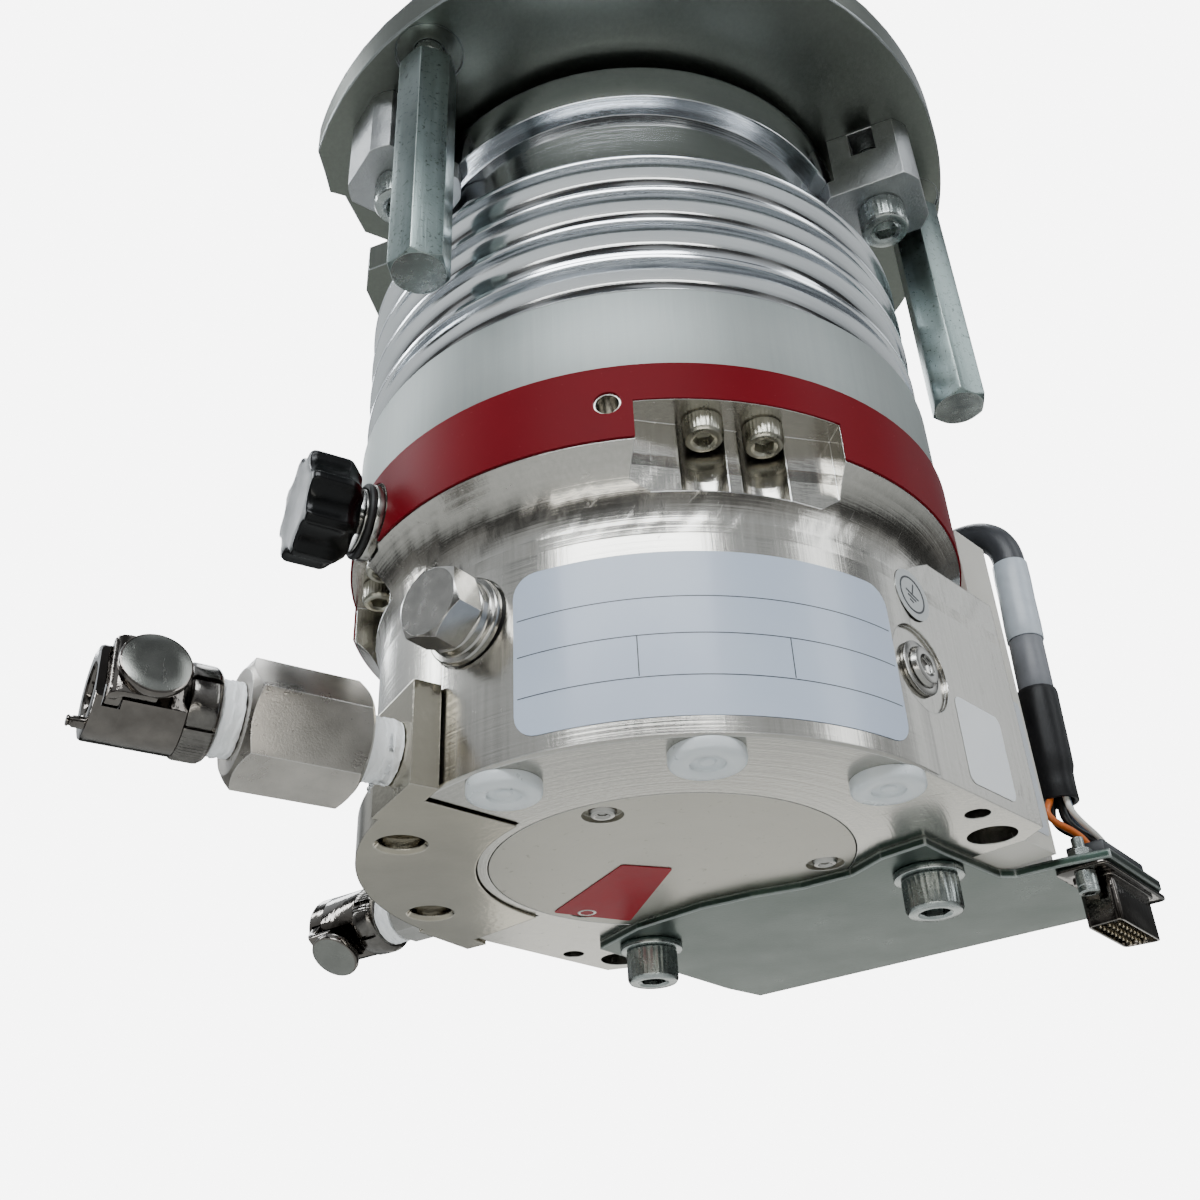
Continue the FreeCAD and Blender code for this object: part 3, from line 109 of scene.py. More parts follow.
def turned(points, steps=64, closed=False, width=0.0):
    """A profile of radius and height, turned round the z axis."""
    if width:
        points = eased(points, width, closed)
    bm = bmesh.new()
    verts = [bm.verts.new((r, 0.0, z)) for r, z in points]
    pairs = list(zip(verts, verts[1:]))
    if closed:
        pairs.append((verts[-1], verts[0]))
    edges = [bm.edges.new(pair) for pair in pairs]
    bmesh.ops.spin(bm, geom=verts + edges, cent=(0, 0, 0), axis=UP, dvec=(0, 0, 0), angle=math.tau, steps=steps,
                   use_merge=True, use_duplicate=False)
    bmesh.ops.remove_doubles(bm, verts=bm.verts, dist=WELD)
    bmesh.ops.recalc_face_normals(bm, faces=bm.faces)
    return bm


def ease(bm, width, limit=35.0):
    """Rounds the edges that turn by more than the limit, in degrees."""
    edges = [e for e in bm.edges if len(e.link_faces) == 2 and e.calc_face_angle(0.0) > math.radians(limit)]
    bmesh.ops.bevel(bm, geom=edges, offset=width, offset_type="OFFSET", affect="EDGES", segments=2, profile=0.5,
                    material=-1, clamp_overlap=True)
    return bm


def block(size, centre, width):
    bm = bmesh.new()
    bmesh.ops.create_cube(bm, size=1.0, matrix=Matrix.Translation(centre) @ Matrix.Diagonal((*size, 1.0)))
    return ease(bm, width)


def outline(points, low, high, width=0.0):
    bm = bmesh.new()
    bm.faces.new([bm.verts.new((x, y, low)) for x, y in points])
    thicken(bm, high - low)
    return ease(bm, width) if width else bm


def flats(bm, across, low, high, reach=math.inf):
    """Presses six flats into the corners between two heights."""
    part = math.tau / 6.0
    for v in bm.verts:
        radius = reach_of(v)
        if low <= v.co.z <= high and 0.01 < radius <= reach:
            limit = across / 2.0 / math.cos(turn_of(v) % part - part / 2.0)
            if radius > limit:
                pull(v, limit / radius)


def ridges(bm, count, depth, radius, low, high):
    """Cuts a straight knurl into the corners that lie on a radius."""
    for v in bm.verts:
        r = reach_of(v)
        if low <= v.co.z <= high and abs(r - radius) < 0.05:
            wave = 0.5 - 0.5 * math.cos(count * turn_of(v))
            pull(v, 1.0 - depth * wave / r)


def gather(target, source, place=None, paint=0):
    """Adds a mesh to another; paint is a material number or a rule that gives one for each face."""
    source.normal_update()
    for face in source.faces:
        face.material_index = paint(face) if callable(paint) else paint
    if place is not None:
        bmesh.ops.transform(source, matrix=place, verts=source.verts)
    mesh = bpy.data.meshes.new("part")
    source.to_mesh(mesh)
    source.free()
    target.from_mesh(mesh)
    bpy.data.meshes.remove(mesh)


def joined(*pieces):
    """One mesh of several, each given as its mesh, its place and its paint."""
    whole = bmesh.new()
    for piece in pieces:
        gather(whole, *piece)
    return whole


def added(name, data, slot, body="pump"):
    obj = bpy.data.objects.new(name, data)
    bpy.context.scene.collection.objects.link(obj)
    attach(obj, body)
    return obj


def publish(bm, name, paints, slot, nodes=(), body="pump", crease=32.0):
    """A mesh in the pump's millimetres becomes a piece in metres that rides on a body."""
    bmesh.ops.transform(bm, matrix=BASE, verts=bm.verts)
    mesh = bpy.data.meshes.new(name)
    bm.to_mesh(mesh)
    bm.free()
    for paint in paints:
        mesh.materials.append(FINISHES[paint])
    mesh.shade_smooth()
    mesh.set_sharp_from_angle(angle=math.radians(crease))
    obj = added(name, mesh, slot, body)
    if nodes:
        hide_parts(*nodes)
    return obj


def sticker(width, height, corner, columns=1, thick=0.12):
    """A thin printed sheet in x and y, its middle at zero, with round corners."""
    bm = bmesh.new()
    bmesh.ops.create_grid(bm, x_segments=1, y_segments=1, size=0.5,
                          matrix=Matrix.Diagonal((width, height, 1, 1)))
    if corner:
        bmesh.ops.bevel(bm, geom=bm.verts[:], offset=corner, offset_type="OFFSET", affect="VERTICES",
                        segments=6, profile=0.5, material=-1)
    for index in range(1, columns):
        place = -width / 2.0 + width * index / columns
        bmesh.ops.bisect_plane(bm, geom=bm.verts[:] + bm.edges[:] + bm.faces[:], plane_co=(place, 0, 0),
                               plane_no=(1, 0, 0), dist=0.0001)
    bmesh.ops.recalc_face_normals(bm, faces=bm.faces)
    if bm.faces[:][0].normal.z < 0:
        bmesh.ops.reverse_faces(bm, faces=bm.faces[:])
    thicken(bm, thick)
    return bm


def ruled(bars, steps, level, thick):
    """Thin printed bars, each given as its middle, width and height."""
    for x, y, width, height in bars:
        bar = sticker(width, height, 0.0, steps if width > 5 else 1, thick)
        bmesh.ops.translate(bar, vec=(x, y, level), verts=bar.verts)
        yield bar


def wrap(bm, radius, turn, level):
    for v in bm.verts:
        angle = math.radians(turn) + v.co.x / radius
        out = radius + v.co.z
        v.co = Vector((out * math.cos(angle), out * math.sin(angle), level + v.co.y))
    return bm


def corners(points, closed=True):
    """Each corner with its unit ways back and ahead and their lengths."""
    ring = [points[-1]] + points + [points[0]] if closed else points
    for before, corner, after in zip(ring, ring[1:], ring[2:]):
        spot = Vector(corner)
        back, ahead = Vector(before) - spot, Vector(after) - spot
        lengths = back.length, ahead.length
        back.normalize()
        ahead.normalize()
        yield spot, back, ahead, lengths


def eased(points, width, closed=False):
    """The profile with each sharp corner turned into a small round of three points."""
    soft = [] if closed else [points[0]]
    for spot, back, ahead, lengths in corners(points, closed):
        reach = min(width, 0.4 * lengths[0], 0.4 * lengths[1])
        if back.dot(ahead) < -0.85 or reach < 0.015:
            soft.append(tuple(spot))
        else:
            soft += [tuple(spot + back * reach), tuple(spot + (back + ahead) * reach * 0.29),
                     tuple(spot + ahead * reach)]
    return soft if closed else soft + [points[-1]]


def hexagon_bar(across, low, high, bore=0.0, face=0.93, slope=0.577, rings=0):
    """A hexagon bar along z; its turned end faces leave curved chamfers on the flats."""
    corner, rim = across / math.sqrt(3.0), across / 2.0 * face
    faced = [(rim * i / (rings + 1), low + (0.05 if i % 2 else 0.0)) for i in range(1, rings + 1)]
    bm = turned([(bore, low)] + faced + [(rim, low), (corner, low + 0.5), (corner, high - 0.5), (rim, high),
                                         (bore, high)], 96, closed=bore > 0.0)
    flats(bm, across, low, high)
    middle = (low + high) / 2.0
    for v in bm.verts:
        out = reach_of(v) - rim
        if out > 0.01:
            v.co.z = low + out * slope if v.co.z < middle else high - out * slope
    return bm


def cap_screw(head, height, socket, shank, reach, knurls=0, depth=0.16):
    """Local millimetres: the seat at zero, the head along z and the shank below it."""
    ring = socket / math.sqrt(3.0)
    deep = height * 0.5
    points = [(0.0, -reach), (shank - 0.5, -reach), (shank, 0.5 - reach), (shank, -0.02), (head - 0.35, 0.0),
              (head, 0.35), (head, height - 1.0), (head - 0.14, height - 0.7), (head - 0.5, height - 0.12),
              (head - 0.85, height), (ring + 0.5, height), (ring + 0.12, height - 0.28), (ring, height - 0.42),
              (ring, height - deep), (0.0, height - deep - 0.9)]
    bm = turned(points, 96)
    flats(bm, socket, height - deep - 0.05, height - 0.4, ring + 0.02)
    if knurls:
        ridges(bm, knurls, depth, head, 0.3, height - 0.95)
    return bm


def trim(bm, place, normal):
    """Cut away what lies beyond a plane and close the cut."""
    cut = bmesh.ops.bisect_plane(bm, geom=bm.verts[:] + bm.edges[:] + bm.faces[:], plane_co=place,
                                 plane_no=normal, dist=0.0001, clear_outer=True)["geom_cut"]
    edges = [e for e in cut if isinstance(e, bmesh.types.BMEdge)]
    bmesh.ops.triangle_fill(bm, use_beauty=True, use_dissolve=True, edges=edges)
    bmesh.ops.recalc_face_normals(bm, faces=bm.faces)


def rounded(points, radius, segments=5):
    """The corners of a flat outline, each replaced by an arc."""
    loop = []
    for spot, back, ahead, lengths in corners(points):
        half = back.angle(ahead) / 2.0
        reach = min(radius / math.tan(half), 0.45 * lengths[0], 0.45 * lengths[1])
        for index in range(segments + 1):
            share = index / segments
            loop.append(tuple(spot + back * reach * (1.0 - share) ** 2 + ahead * reach * share ** 2))
    return loop


def frame_plate(outer, inner, low, high, width=0.0):
    """A plate with an opening: both outlines have as many points."""
    bm = bmesh.new()
    for loop in (outer, inner):
        verts = [bm.verts.new((x, y, low)) for x, y in loop]
        for pair in zip(verts, verts[1:] + verts[:1]):
            bm.edges.new(pair)
    bmesh.ops.bridge_loops(bm, edges=bm.edges[:])
    thicken(bm, high - low)
    return ease(bm, width) if width else bm


def line_through(points, name, radius, finish_name, slot):
    """A round cord on a smooth spline with these control points, in millimetres."""
    curve = bpy.data.curves.new(name, "CURVE")
    curve.dimensions = "3D"
    curve.resolution_u = 14
    curve.bevel_depth = radius * MM
    curve.bevel_resolution = 8
    curve.use_fill_caps = True
    spline = curve.splines.new("NURBS")
    spline.points.add(len(points) - 1)
    for point, place in zip(spline.points, points):
        point.co = (*(BASE @ Vector(place)), 1.0)
    spline.order_u = 3
    spline.use_endpoint_u = True
    curve.materials.append(FINISHES[finish_name])
    return added(name, curve, slot)


# Finishes
def linear(code):
    values = [int(code[i:i + 2], 16) / 255.0 for i in (1, 3, 5)]
    return [v / 12.92 if v <= 0.04045 else ((v + 0.055) / 1.055) ** 2.4 for v in values]


def node(tree, kind, inputs=None, **settings):
    """Adds a node with its settings; an input is a value or the socket that feeds it."""
    made = tree.nodes.new("ShaderNode" + kind)
    for key, value in settings.items():
        setattr(made, key, value)
    for key, value in (inputs or {}).items():
        if isinstance(value, bpy.types.NodeSocket):
            tree.links.new(value, made.inputs[key])
        else:
            made.inputs[key].default_value = value
    return made


FINISHES = {}
# How far to both sides of its middle the cloud noise is read
CLOUD_REACH = 0.25 / 0.6
SCATTER = 0.004


def finish(name, dark, light, rough, metallic=1.0, cloud=18.0, lines=0.0, line_bump=0.0, grain=0.0,
           grain_bump=0.0, specks=0.0, speck_size=2.5, speck_colour="#303030", spread=0.08, spin=0.0, edge=0.0,
           edge_colour="#FFFFFF", coat=0.0, ior=1.5, subsurface=0.0, transmission=0.0, scratches=0.0,
           ripple=0.0, specular=0.5, brushed=0.0):
    """A node material. Lengths are millimetres: cloud is the size of soft changes of tone, lines the spacing
    of tool marks round the pump's axis, brushed that of fine upright lines, grain the size of a blasted,
    moulded or cast surface's bumps, ripple the width of a ball mill's passes and edge the round of an edge.
    Within that round the colour turns towards edge_colour, as edge wear and painted highlight."""
    mat = bpy.data.materials.new(name)
    mat.use_nodes = True
    tree = mat.node_tree
    tree.nodes.clear()
    out = node(tree, "OutputMaterial")
    place = node(tree, "TexCoord").outputs["Object"]
    clouds = node(tree, "TexNoise", {"Vector": place, "Scale": 1.0 / (cloud * MM), "Detail": 5.0,
                                     "Roughness": 0.6}).outputs["Fac"]
    tone = node(tree, "MapRange", {"Value": clouds, "From Min": 0.5 - CLOUD_REACH,
                                   "From Max": 0.5 + CLOUD_REACH}).outputs[0]
    # Each bump has a strength, a depth in millimetres and a height
    bumps = []
    if lines or ripple:
        parts = node(tree, "SeparateXYZ", {"Vector": place}).outputs
        turn = node(tree, "Math", {0: parts["Y"], 1: parts["X"]}, operation="ARCTAN2").outputs[0]
    if lines:
        flat = node(tree, "CombineXYZ", {"X": parts["X"], "Y": parts["Y"]}).outputs[0]
        radius = node(tree, "VectorMath", {0: flat}, operation="LENGTH").outputs["Value"]
        soft = node(tree, "Math", {0: turn, 1: lines * MM * 0.7}, operation="MULTIPLY").outputs[0]
        rings = node(tree, "CombineXYZ", {"X": radius, "Y": parts["Z"], "Z": soft}).outputs[0]
        marks = node(tree, "TexNoise", {"Vector": rings, "Scale": 1.0 / (lines * MM), "Detail": 3.0,
                                        "Roughness": 0.55}).outputs["Fac"]
        tone = node(tree, "Mix", {0: 0.4, 2: tone, 3: marks}).outputs[0]
        bumps.append((line_bump, lines * 0.25, marks))
    if brushed:
        # Fine vertical lines from the face mill's long passes
        drawn = node(tree, "VectorMath", {0: place, 1: (1.0, 1.0, 0.03)}, operation="MULTIPLY").outputs[0]
        hairs = node(tree, "TexNoise", {"Vector": drawn, "Scale": 1.0 / (brushed * MM), "Detail": 4.0,
                                        "Roughness": 0.6}).outputs["Fac"]
        tone = node(tree, "Mix", {0: 0.55, 2: tone, 3: hairs}).outputs[0]
        bumps.append((0.16, brushed * 0.2, hairs))
    if grain:
        grains = node(tree, "TexNoise", {"Vector": place, "Scale": 1.0 / (grain * MM), "Detail": 3.0,
                                         "Roughness": 0.55}).outputs["Fac"]
        bumps.append((grain_bump, grain * 0.4, grains))
    if ripple:
        # Ball-mill passes that climb aslant over the swept fillet, between these two heights
        lowest, highest, fade = -0.1645, -0.1455, 0.003
        slant = node(tree, "Math", {0: parts["Z"], 1: -9.0, 2: turn}, operation="MULTIPLY_ADD").outputs[0]
        passes = node(tree, "CombineXYZ", {"X": slant, "Y": parts["Z"]}).outputs[0]
        waves = node(tree, "TexNoise", {"Vector": passes, "Scale": 0.070 / (ripple * MM), "Detail": 1.0,
                                        "Roughness": 0.4}).outputs["Fac"]
        above = node(tree, "MapRange", {"Value": parts["Z"], "From Min": lowest,
                                        "From Max": lowest + fade}).outputs[0]
        below = node(tree, "MapRange", {"Value": parts["Z"], "From Min": highest,
                                        "From Max": highest - fade}).outputs[0]
        band = node(tree, "Math", {0: above, 1: below}, operation="MULTIPLY").outputs[0]
        waves = node(tree, "Math", {0: waves, 1: band}, operation="MULTIPLY").outputs[0]
        bumps.append((0.45, 1.2, waves))
    colour = node(tree, "Mix", {0: tone, 6: (*linear(dark), 1), 7: (*linear(light), 1)},
                  data_type="RGBA").outputs[2]
    roughness = node(tree, "MapRange", {"Value": tone, "To Min": max(rough - spread, 0.02),
                                        "To Max": rough + spread}).outputs[0]
    if specks:
        cells = node(tree, "TexNoise", {"Vector": place, "Scale": 1.0 / (speck_size * MM), "Detail": 2.0,
                                        "Roughness": 0.7, "Distortion": 0.6}).outputs["Fac"]
        mask = node(tree, "MapRange", {"Value": cells, "From Min": 0.72 - 0.2 * specks,
                                       "From Max": 0.82 - 0.2 * specks, "To Max": 0.75}).outputs[0]
        colour = node(tree, "Mix", {0: mask, 6: colour, 7: (*linear(speck_colour), 1)},
                      data_type="RGBA").outputs[2]
    if scratches:
        bent = node(tree, "VectorRotate", {"Vector": place, "Rotation": (0.4, 0.9, 0.5)},
                    rotation_type="EULER_XYZ").outputs[0]
        long = node(tree, "VectorMath", {0: bent, 1: (1.0, 12.0, 3.0)}, operation="MULTIPLY").outputs[0]
        hair = node(tree, "TexNoise", {"Vector": long, "Scale": 60.0, "Detail": 6.0,
                                       "Roughness": 0.75}).outputs["Fac"]
        thin = node(tree, "MapRange", {"Value": hair, "From Min": 0.60, "From Max": 0.68,
                                       "To Max": scratches}).outputs[0]
        roughness = node(tree, "Math", {0: roughness, 1: thin}, operation="ADD").outputs[0]
    normal = None
    if edge:
        normal = node(tree, "Bevel", {"Radius": edge * MM}, samples=4).outputs[0]
        true_normal = node(tree, "NewGeometry").outputs["Normal"]
        same = node(tree, "VectorMath", {0: normal, 1: true_normal}, operation="DOT_PRODUCT").outputs["Value"]
        # Edges within the bevel's round are lightened towards edge_colour: partly wear, partly a painted
        # highlight along the edges
        edge_wear_and_highlight = node(tree, "MapRange", {"Value": same, "From Min": 0.995, "From Max": 0.90,
                                       "To Max": 0.6}).outputs[0]
        colour = node(tree, "Mix", {0: edge_wear_and_highlight, 6: colour, 7: (*linear(edge_colour), 1)},
                      data_type="RGBA").outputs[2]
    for strength, depth, height in bumps:
        inputs = {"Strength": strength, "Distance": depth * MM, "Height": height}
        if normal is not None:
            inputs["Normal"] = normal
        normal = node(tree, "Bump", inputs).outputs[0]
    shader = node(tree, "BsdfPrincipled", {
        "Base Color": colour, "Roughness": roughness, "Metallic": metallic, "IOR": ior, "Anisotropic": spin,
        "Coat Weight": coat, "Coat Roughness": 0.12, "Transmission Weight": transmission,
        "Subsurface Weight": subsurface, "Subsurface Radius": (SCATTER, SCATTER, SCATTER),
        "Specular IOR Level": specular})
    if spin:
        around = node(tree, "Tangent", direction_type="RADIAL", axis="Z").outputs[0]
        tree.links.new(around, shader.inputs["Tangent"])
    if normal is not None:
        tree.links.new(normal, shader.inputs["Normal"])
    tree.links.new(shader.outputs[0], out.inputs["Surface"])
    FINISHES[name] = mat


def make_finishes(colours):
    # Turned aluminium: fine rings from the tool, bright bands across the turning
    finish("turned_aluminium", "#BFC3C8", "#E6E8EA", 0.13, cloud=40, lines=0.55, line_bump=0.16, spin=0.65,
           spread=0.04, edge=0.2)
    # Satin band of the barrel: an even, matt light grey with a few hairlines
    finish("satin_aluminium", "#8D9392", "#A9AEAC", 0.56, cloud=14, lines=0.4, line_bump=0.06, spread=0.05,
           scratches=0.06, brushed=1.6)
    # Milled aluminium: satin walls with faint rings and a little stain
    finish("milled_aluminium", "#98958F", "#CDCAC3", 0.20, cloud=26, lines=0.7, line_bump=0.20, spread=0.07,
           edge=0.35, scratches=0.12, ripple=7.5, brushed=0.9)
    # Faced aluminium cover: close rings and a warm stain
    finish("faced_aluminium", "#A39F96", "#BBB8AE", 0.38, cloud=14, lines=0.5, line_bump=0.15, spread=0.06,
           specks=0.35, speck_size=2.2, speck_colour="#8F8A7F", edge=0.25)
    # Blasted aluminium: an even matt skin
    finish("blasted_aluminium", "#8F9192", "#AEB0B1", 0.36, cloud=5, grain=0.7, grain_bump=0.55, spread=0.1,
           edge=0.45, scratches=0.10)
    # Zinc plate with a blue-green passivation: cloudy, with small darker marks; its edges lightened as wear and
    # painted highlight
    finish("zinc_plate", "#65716F", "#8C9896", 0.30, cloud=5, grain=0.6, grain_bump=0.12, specks=0.62,
           speck_size=1.1, speck_colour="#2F3531", spread=0.10, edge=0.35, edge_colour="#D5DED8", brushed=1.2)
    # Blue zinc on the bent sheet of the bracket: smoother and more even than on the posts; a strong painted
    # highlight along its edges, with some wear
    finish("blue_zinc", "#2F3F39", "#414F48", 0.30, cloud=16, grain=0.8, grain_bump=0.06, specks=0.25,
           speck_size=1.4, speck_colour="#38443F", spread=0.07, edge=1.0, edge_colour="#F2F8F5")
    # Bright zinc on screws: the same plating with a brighter skin
    finish("zinc_screw", "#7B8280", "#B4BAB7", 0.26, cloud=3, grain=0.4, grain_bump=0.1, spread=0.1, edge=0.15)
    # Yellowed screw steel in the rim pockets
    finish("dull_zinc", "#8D8B7E", "#BEBCB0", 0.30, cloud=3, grain=0.4, grain_bump=0.12, spread=0.1)
    # Milled plate: a satin grey face, darkened as painted shade, with its edges lightened as painted highlight
    # and wear
    finish("plate_steel", "#61655F", "#777B74", 0.34, cloud=30, grain=0.8, grain_bump=0.06, spread=0.03,
           edge=0.6, edge_colour="#E6ECF2", brushed=1.0)
    # Stainless steel, turned
    finish("stainless", "#8C8A86", "#BDBBB6", 0.22, cloud=5, spread=0.07, edge=0.15)
    # Bead-blasted and plated steel of the hose adapter: warm satin grey
    finish("adapter_steel", "#928D87", "#C3BEB6", 0.30, cloud=8, grain=0.4, grain_bump=0.30, spread=0.08,
           edge=0.3, specks=0.2, speck_size=0.8, speck_colour="#5F5A54")
    # Nickel plate over a machined face: a warm dark mirror; its edges lightened as painted highlight and wear
    finish("nickel_plate", "#928C7E", "#AFA999", 0.12, cloud=22, grain=1.4, grain_bump=0.05, spread=0.04,
           edge=0.45, edge_colour="#E4E0D6", scratches=0.08)
    # Chrome plate: a near mirror with a little tone
    finish("chrome_plate", "#4A4643", "#7C7772", 0.06, cloud=6, grain=1.6, grain_bump=0.10, spread=0.03)
    # Satin chrome of the thumb latch, rubbed by fingers
    finish("satin_chrome", "#6C6D69", "#858681", 0.24, cloud=6, grain=0.5, grain_bump=0.05, spread=0.05,
           scratches=0.10)
    # Printed film: dark red, even, with a hard gloss
    finish("red_film", colours.band, colours.band_light, 0.42, metallic=0.0, cloud=30, grain=0.5,
           grain_bump=0.04, spread=0.04, specks=0.1, speck_size=0.8, speck_colour="#8C3A40", specular=0.05)
    # Seal film: a lighter red
    finish("seal_film", "#7D0F1A", "#931B27", 0.40, metallic=0.0, cloud=9, grain=0.8, grain_bump=0.05,
           specular=0.08)
    # Label film: cool white, satin
    finish("label_film", "#A9B6CB", "#B9C4D5", 0.34, metallic=0.0, cloud=30, grain=0.9, grain_bump=0.03,
           coat=0.2)
    # Clear film over metal, as under the earth sign
    finish("clear_film", "#A7AAAA", "#BFC1C0", 0.30, metallic=0.6, cloud=12, grain=0.8, grain_bump=0.04)
    finish("white_film", "#D9DCE0", "#E6E8EA", 0.38, metallic=0.0, cloud=12, grain=0.8, grain_bump=0.04)
    finish("grey_film", "#AEB2B8", "#C2C5CA", 0.4, metallic=0.0, cloud=12, grain=0.8, grain_bump=0.04)
    finish("print_ink", "#26282C", "#34363A", 0.4, metallic=0.0, cloud=3)
    # Glass-filled phenolic of the knob: black, moulded and rubbed grey at the end; its edges lightened a little
    # as wear and painted highlight
    finish("black_plastic", "#050606", "#0E0F10", 0.22, metallic=0.0, cloud=6, grain=0.4, grain_bump=0.05,
           spread=0.06, scratches=0.15, specular=0.2, edge=0.25, edge_colour="#2E2C2A")
    finish("rubbed_plastic", "#2B2C2D", "#404143", 0.34, metallic=0.0, cloud=5, grain=0.3, grain_bump=0.12,
           spread=0.1, specks=0.3, speck_size=1.0, speck_colour="#1A1B1D")
    # End faces turned in a lathe: rings too fine to see, a broad soft sheen across them. This finish is a
    # darker copy of the stainless: painted shade for the faces' dimmer reflection
    finish("shaded_end_stainless", "#5B5A57", "#7F7D79", 0.26, cloud=3, spread=0.05)
    finish("faced_zinc", "#949B98", "#BDC3BF", 0.26, cloud=3, spread=0.06)
    # Chromed knurl of the coupling's collar, darker where the tool cut
    finish("chrome_knurl", "#4E4B48", "#7C7975", 0.16, cloud=2, grain=0.5, grain_bump=0.15, spread=0.05)
    # Heat-shrink tube: black polyolefin with a dull gloss
    finish("shrink_tube", "#0B0B0C", "#18181B", 0.42, metallic=0.0, cloud=5, grain=0.8, grain_bump=0.12,
           specular=0.25)
    # Moulded nylon of the connector's insert, charcoal
    finish("insert_plastic", "#16181C", "#24272C", 0.4, metallic=0.0, cloud=3, grain=0.3, grain_bump=0.08)
    # Nitrile rubber: black and matt
    finish("black_rubber", "#0C0C0D", "#1B1B1C", 0.55, metallic=0.0, cloud=5, grain=0.3, grain_bump=0.1)
    # Polyethylene feet: milky and translucent
    finish("milky_plastic", "#DDE4E8", "#F1F5F7", 0.30, metallic=0.0, cloud=6, grain=0.6, grain_bump=0.05,
           subsurface=0.4, transmission=0.25, ior=1.48)
    # Thread tape: soft white plastic in wound layers
    finish("thread_tape", "#EEF1F4", "#FBFCFD", 0.5, metallic=0.0, cloud=2, grain=0.5, grain_bump=0.4,
           subsurface=0.25)
    # Powder coat: light warm grey with a fine orange peel
    finish("cream_paint", "#B9B5AC", "#CDCAC2", 0.42, metallic=0.0, cloud=20, grain=0.7, grain_bump=0.15,
           edge=0.4)
    # Cable parts
    finish("grey_jacket", "#5D5F64", "#7A7C82", 0.42, metallic=0.0, cloud=6, grain=0.5, grain_bump=0.12)
    finish("dark_jacket", "#26272B", "#3A3B40", 0.38, metallic=0.0, cloud=5, grain=0.5, grain_bump=0.15)
    finish("white_sleeve", "#A4ACB6", "#C3CBD3", 0.34, metallic=0.0, cloud=4, grain=0.7, grain_bump=0.08)
    finish("orange_wire", "#B4551D", "#D26F2C", 0.35, metallic=0.0, cloud=2)
    finish("white_wire", "#C7C6C0", "#E0DFDA", 0.35, metallic=0.0, cloud=2)
    finish("black_wire", "#0B0B0D", "#1A1A1D", 0.3, metallic=0.0, cloud=2)
    finish("blue_wire", "#7F8FA6", "#A3B1C4", 0.35, metallic=0.0, cloud=2)
    finish("gold_pin", "#7E7666", "#A39A86", 0.25, cloud=1)
    # Brass, bronze, steel and copper inside
    finish("brass", "#9C7B3E", "#C8A560", 0.24, cloud=4, grain=0.5, grain_bump=0.05)
    finish("oiled_steel", "#4B4C4F", "#75777A", 0.25, cloud=5, grain=0.6, grain_bump=0.05)
    finish("milled_rotor", "#A7ABAF", "#CACDD0", 0.24, cloud=12, lines=0.6, line_bump=0.12, spread=0.06)
    finish("magnet_nickel", "#7C7A75", "#A19E98", 0.2, cloud=6)
    finish("coil_copper", "#7A3B1B", "#B4622F", 0.35, metallic=0.8, cloud=3, grain=0.8, grain_bump=0.3)
    finish("oil_felt", "#B9A67E", "#D3C49E", 0.9, metallic=0.0, cloud=2, grain=0.4, grain_bump=0.6)


NODE_FINISHES = {
    "turned_aluminium": ["upper_housing"],
    "milled_aluminium": ["lower_housing"],
    "faced_aluminium": ["bottom_cover"],
    "plate_steel": ["mounting_plate"],
    "zinc_plate": ["hex_posts"],
    "blue_zinc": ["connector_bracket"],
    "zinc_screw": ["bracket_screws", "bracket_washers", "claw_screws"],
    "dull_zinc": ["rim_screws"],
    "blasted_aluminium": ["claw_clamps", "fore_port", "centring_ring"],
    "red_film": ["red_band"],
    "stainless": ["vent_neck", "vent_stem", "hex_plug", "earth_screw", "cover_screws", "cooling_screws",
                  "jack_screws", "bearing_star", "splinter_screen", "rear_adapter"],
    "adapter_steel": ["hose_adapter"],
    "black_plastic": ["vent_knob", "connector_insert"],
    "black_rubber": ["seal_rings", "inlet_seal", "cable_shrink"],
    "milky_plastic": ["feet"],
    "nickel_plate": ["cooling_plate"],
    "chrome_plate": ["coupling_front", "coupling_rear", "latch_front", "latch_rear", "connector_shell"],
    "brass": ["poppet_front", "poppet_rear"],
    "thread_tape": ["thread_tapes"],
    "cream_paint": ["drive_unit", "drive_cover"],
    "grey_jacket": ["cable"],
    "white_sleeve": ["cable_sleeve"],
    "black_wire": ["cable_wires"],
    "oiled_steel": ["drive_screws", "shaft", "bearing_inner", "bearing_outer"],
    "milled_rotor": ["rotor", "stator_discs", "spacer_rings", "drag_stator"],
    "magnet_nickel": ["motor_magnet", "magnet_rotor", "magnet_stator"],
    "coil_copper": ["motor_coils"],
    "oil_felt": ["oil_wick"],
}


# Settings
class PumpColours(bpy.types.PropertyGroup):
    band: bpy.props.StringProperty(
        name="Band", description="Darker red of the band, as a hex code", default="#5E0913")
    band_light: bpy.props.StringProperty(
        name="Band, light", description="Lighter red of the band, as a hex code", default="#6E0D19")


class PumpSizes(bpy.types.PropertyGroup):
    key_power: bpy.props.FloatProperty(
        name="Key light", description="Power of the large soft light", default=16.0, min=0.0, unit="POWER")
    knob_radius: bpy.props.FloatProperty(
        name="Knob radius", description="Outer radius of the vent knob", default=0.013, unit="LENGTH")


class PumpPiece:
    bl_options = {"REGISTER", "UNDO"}


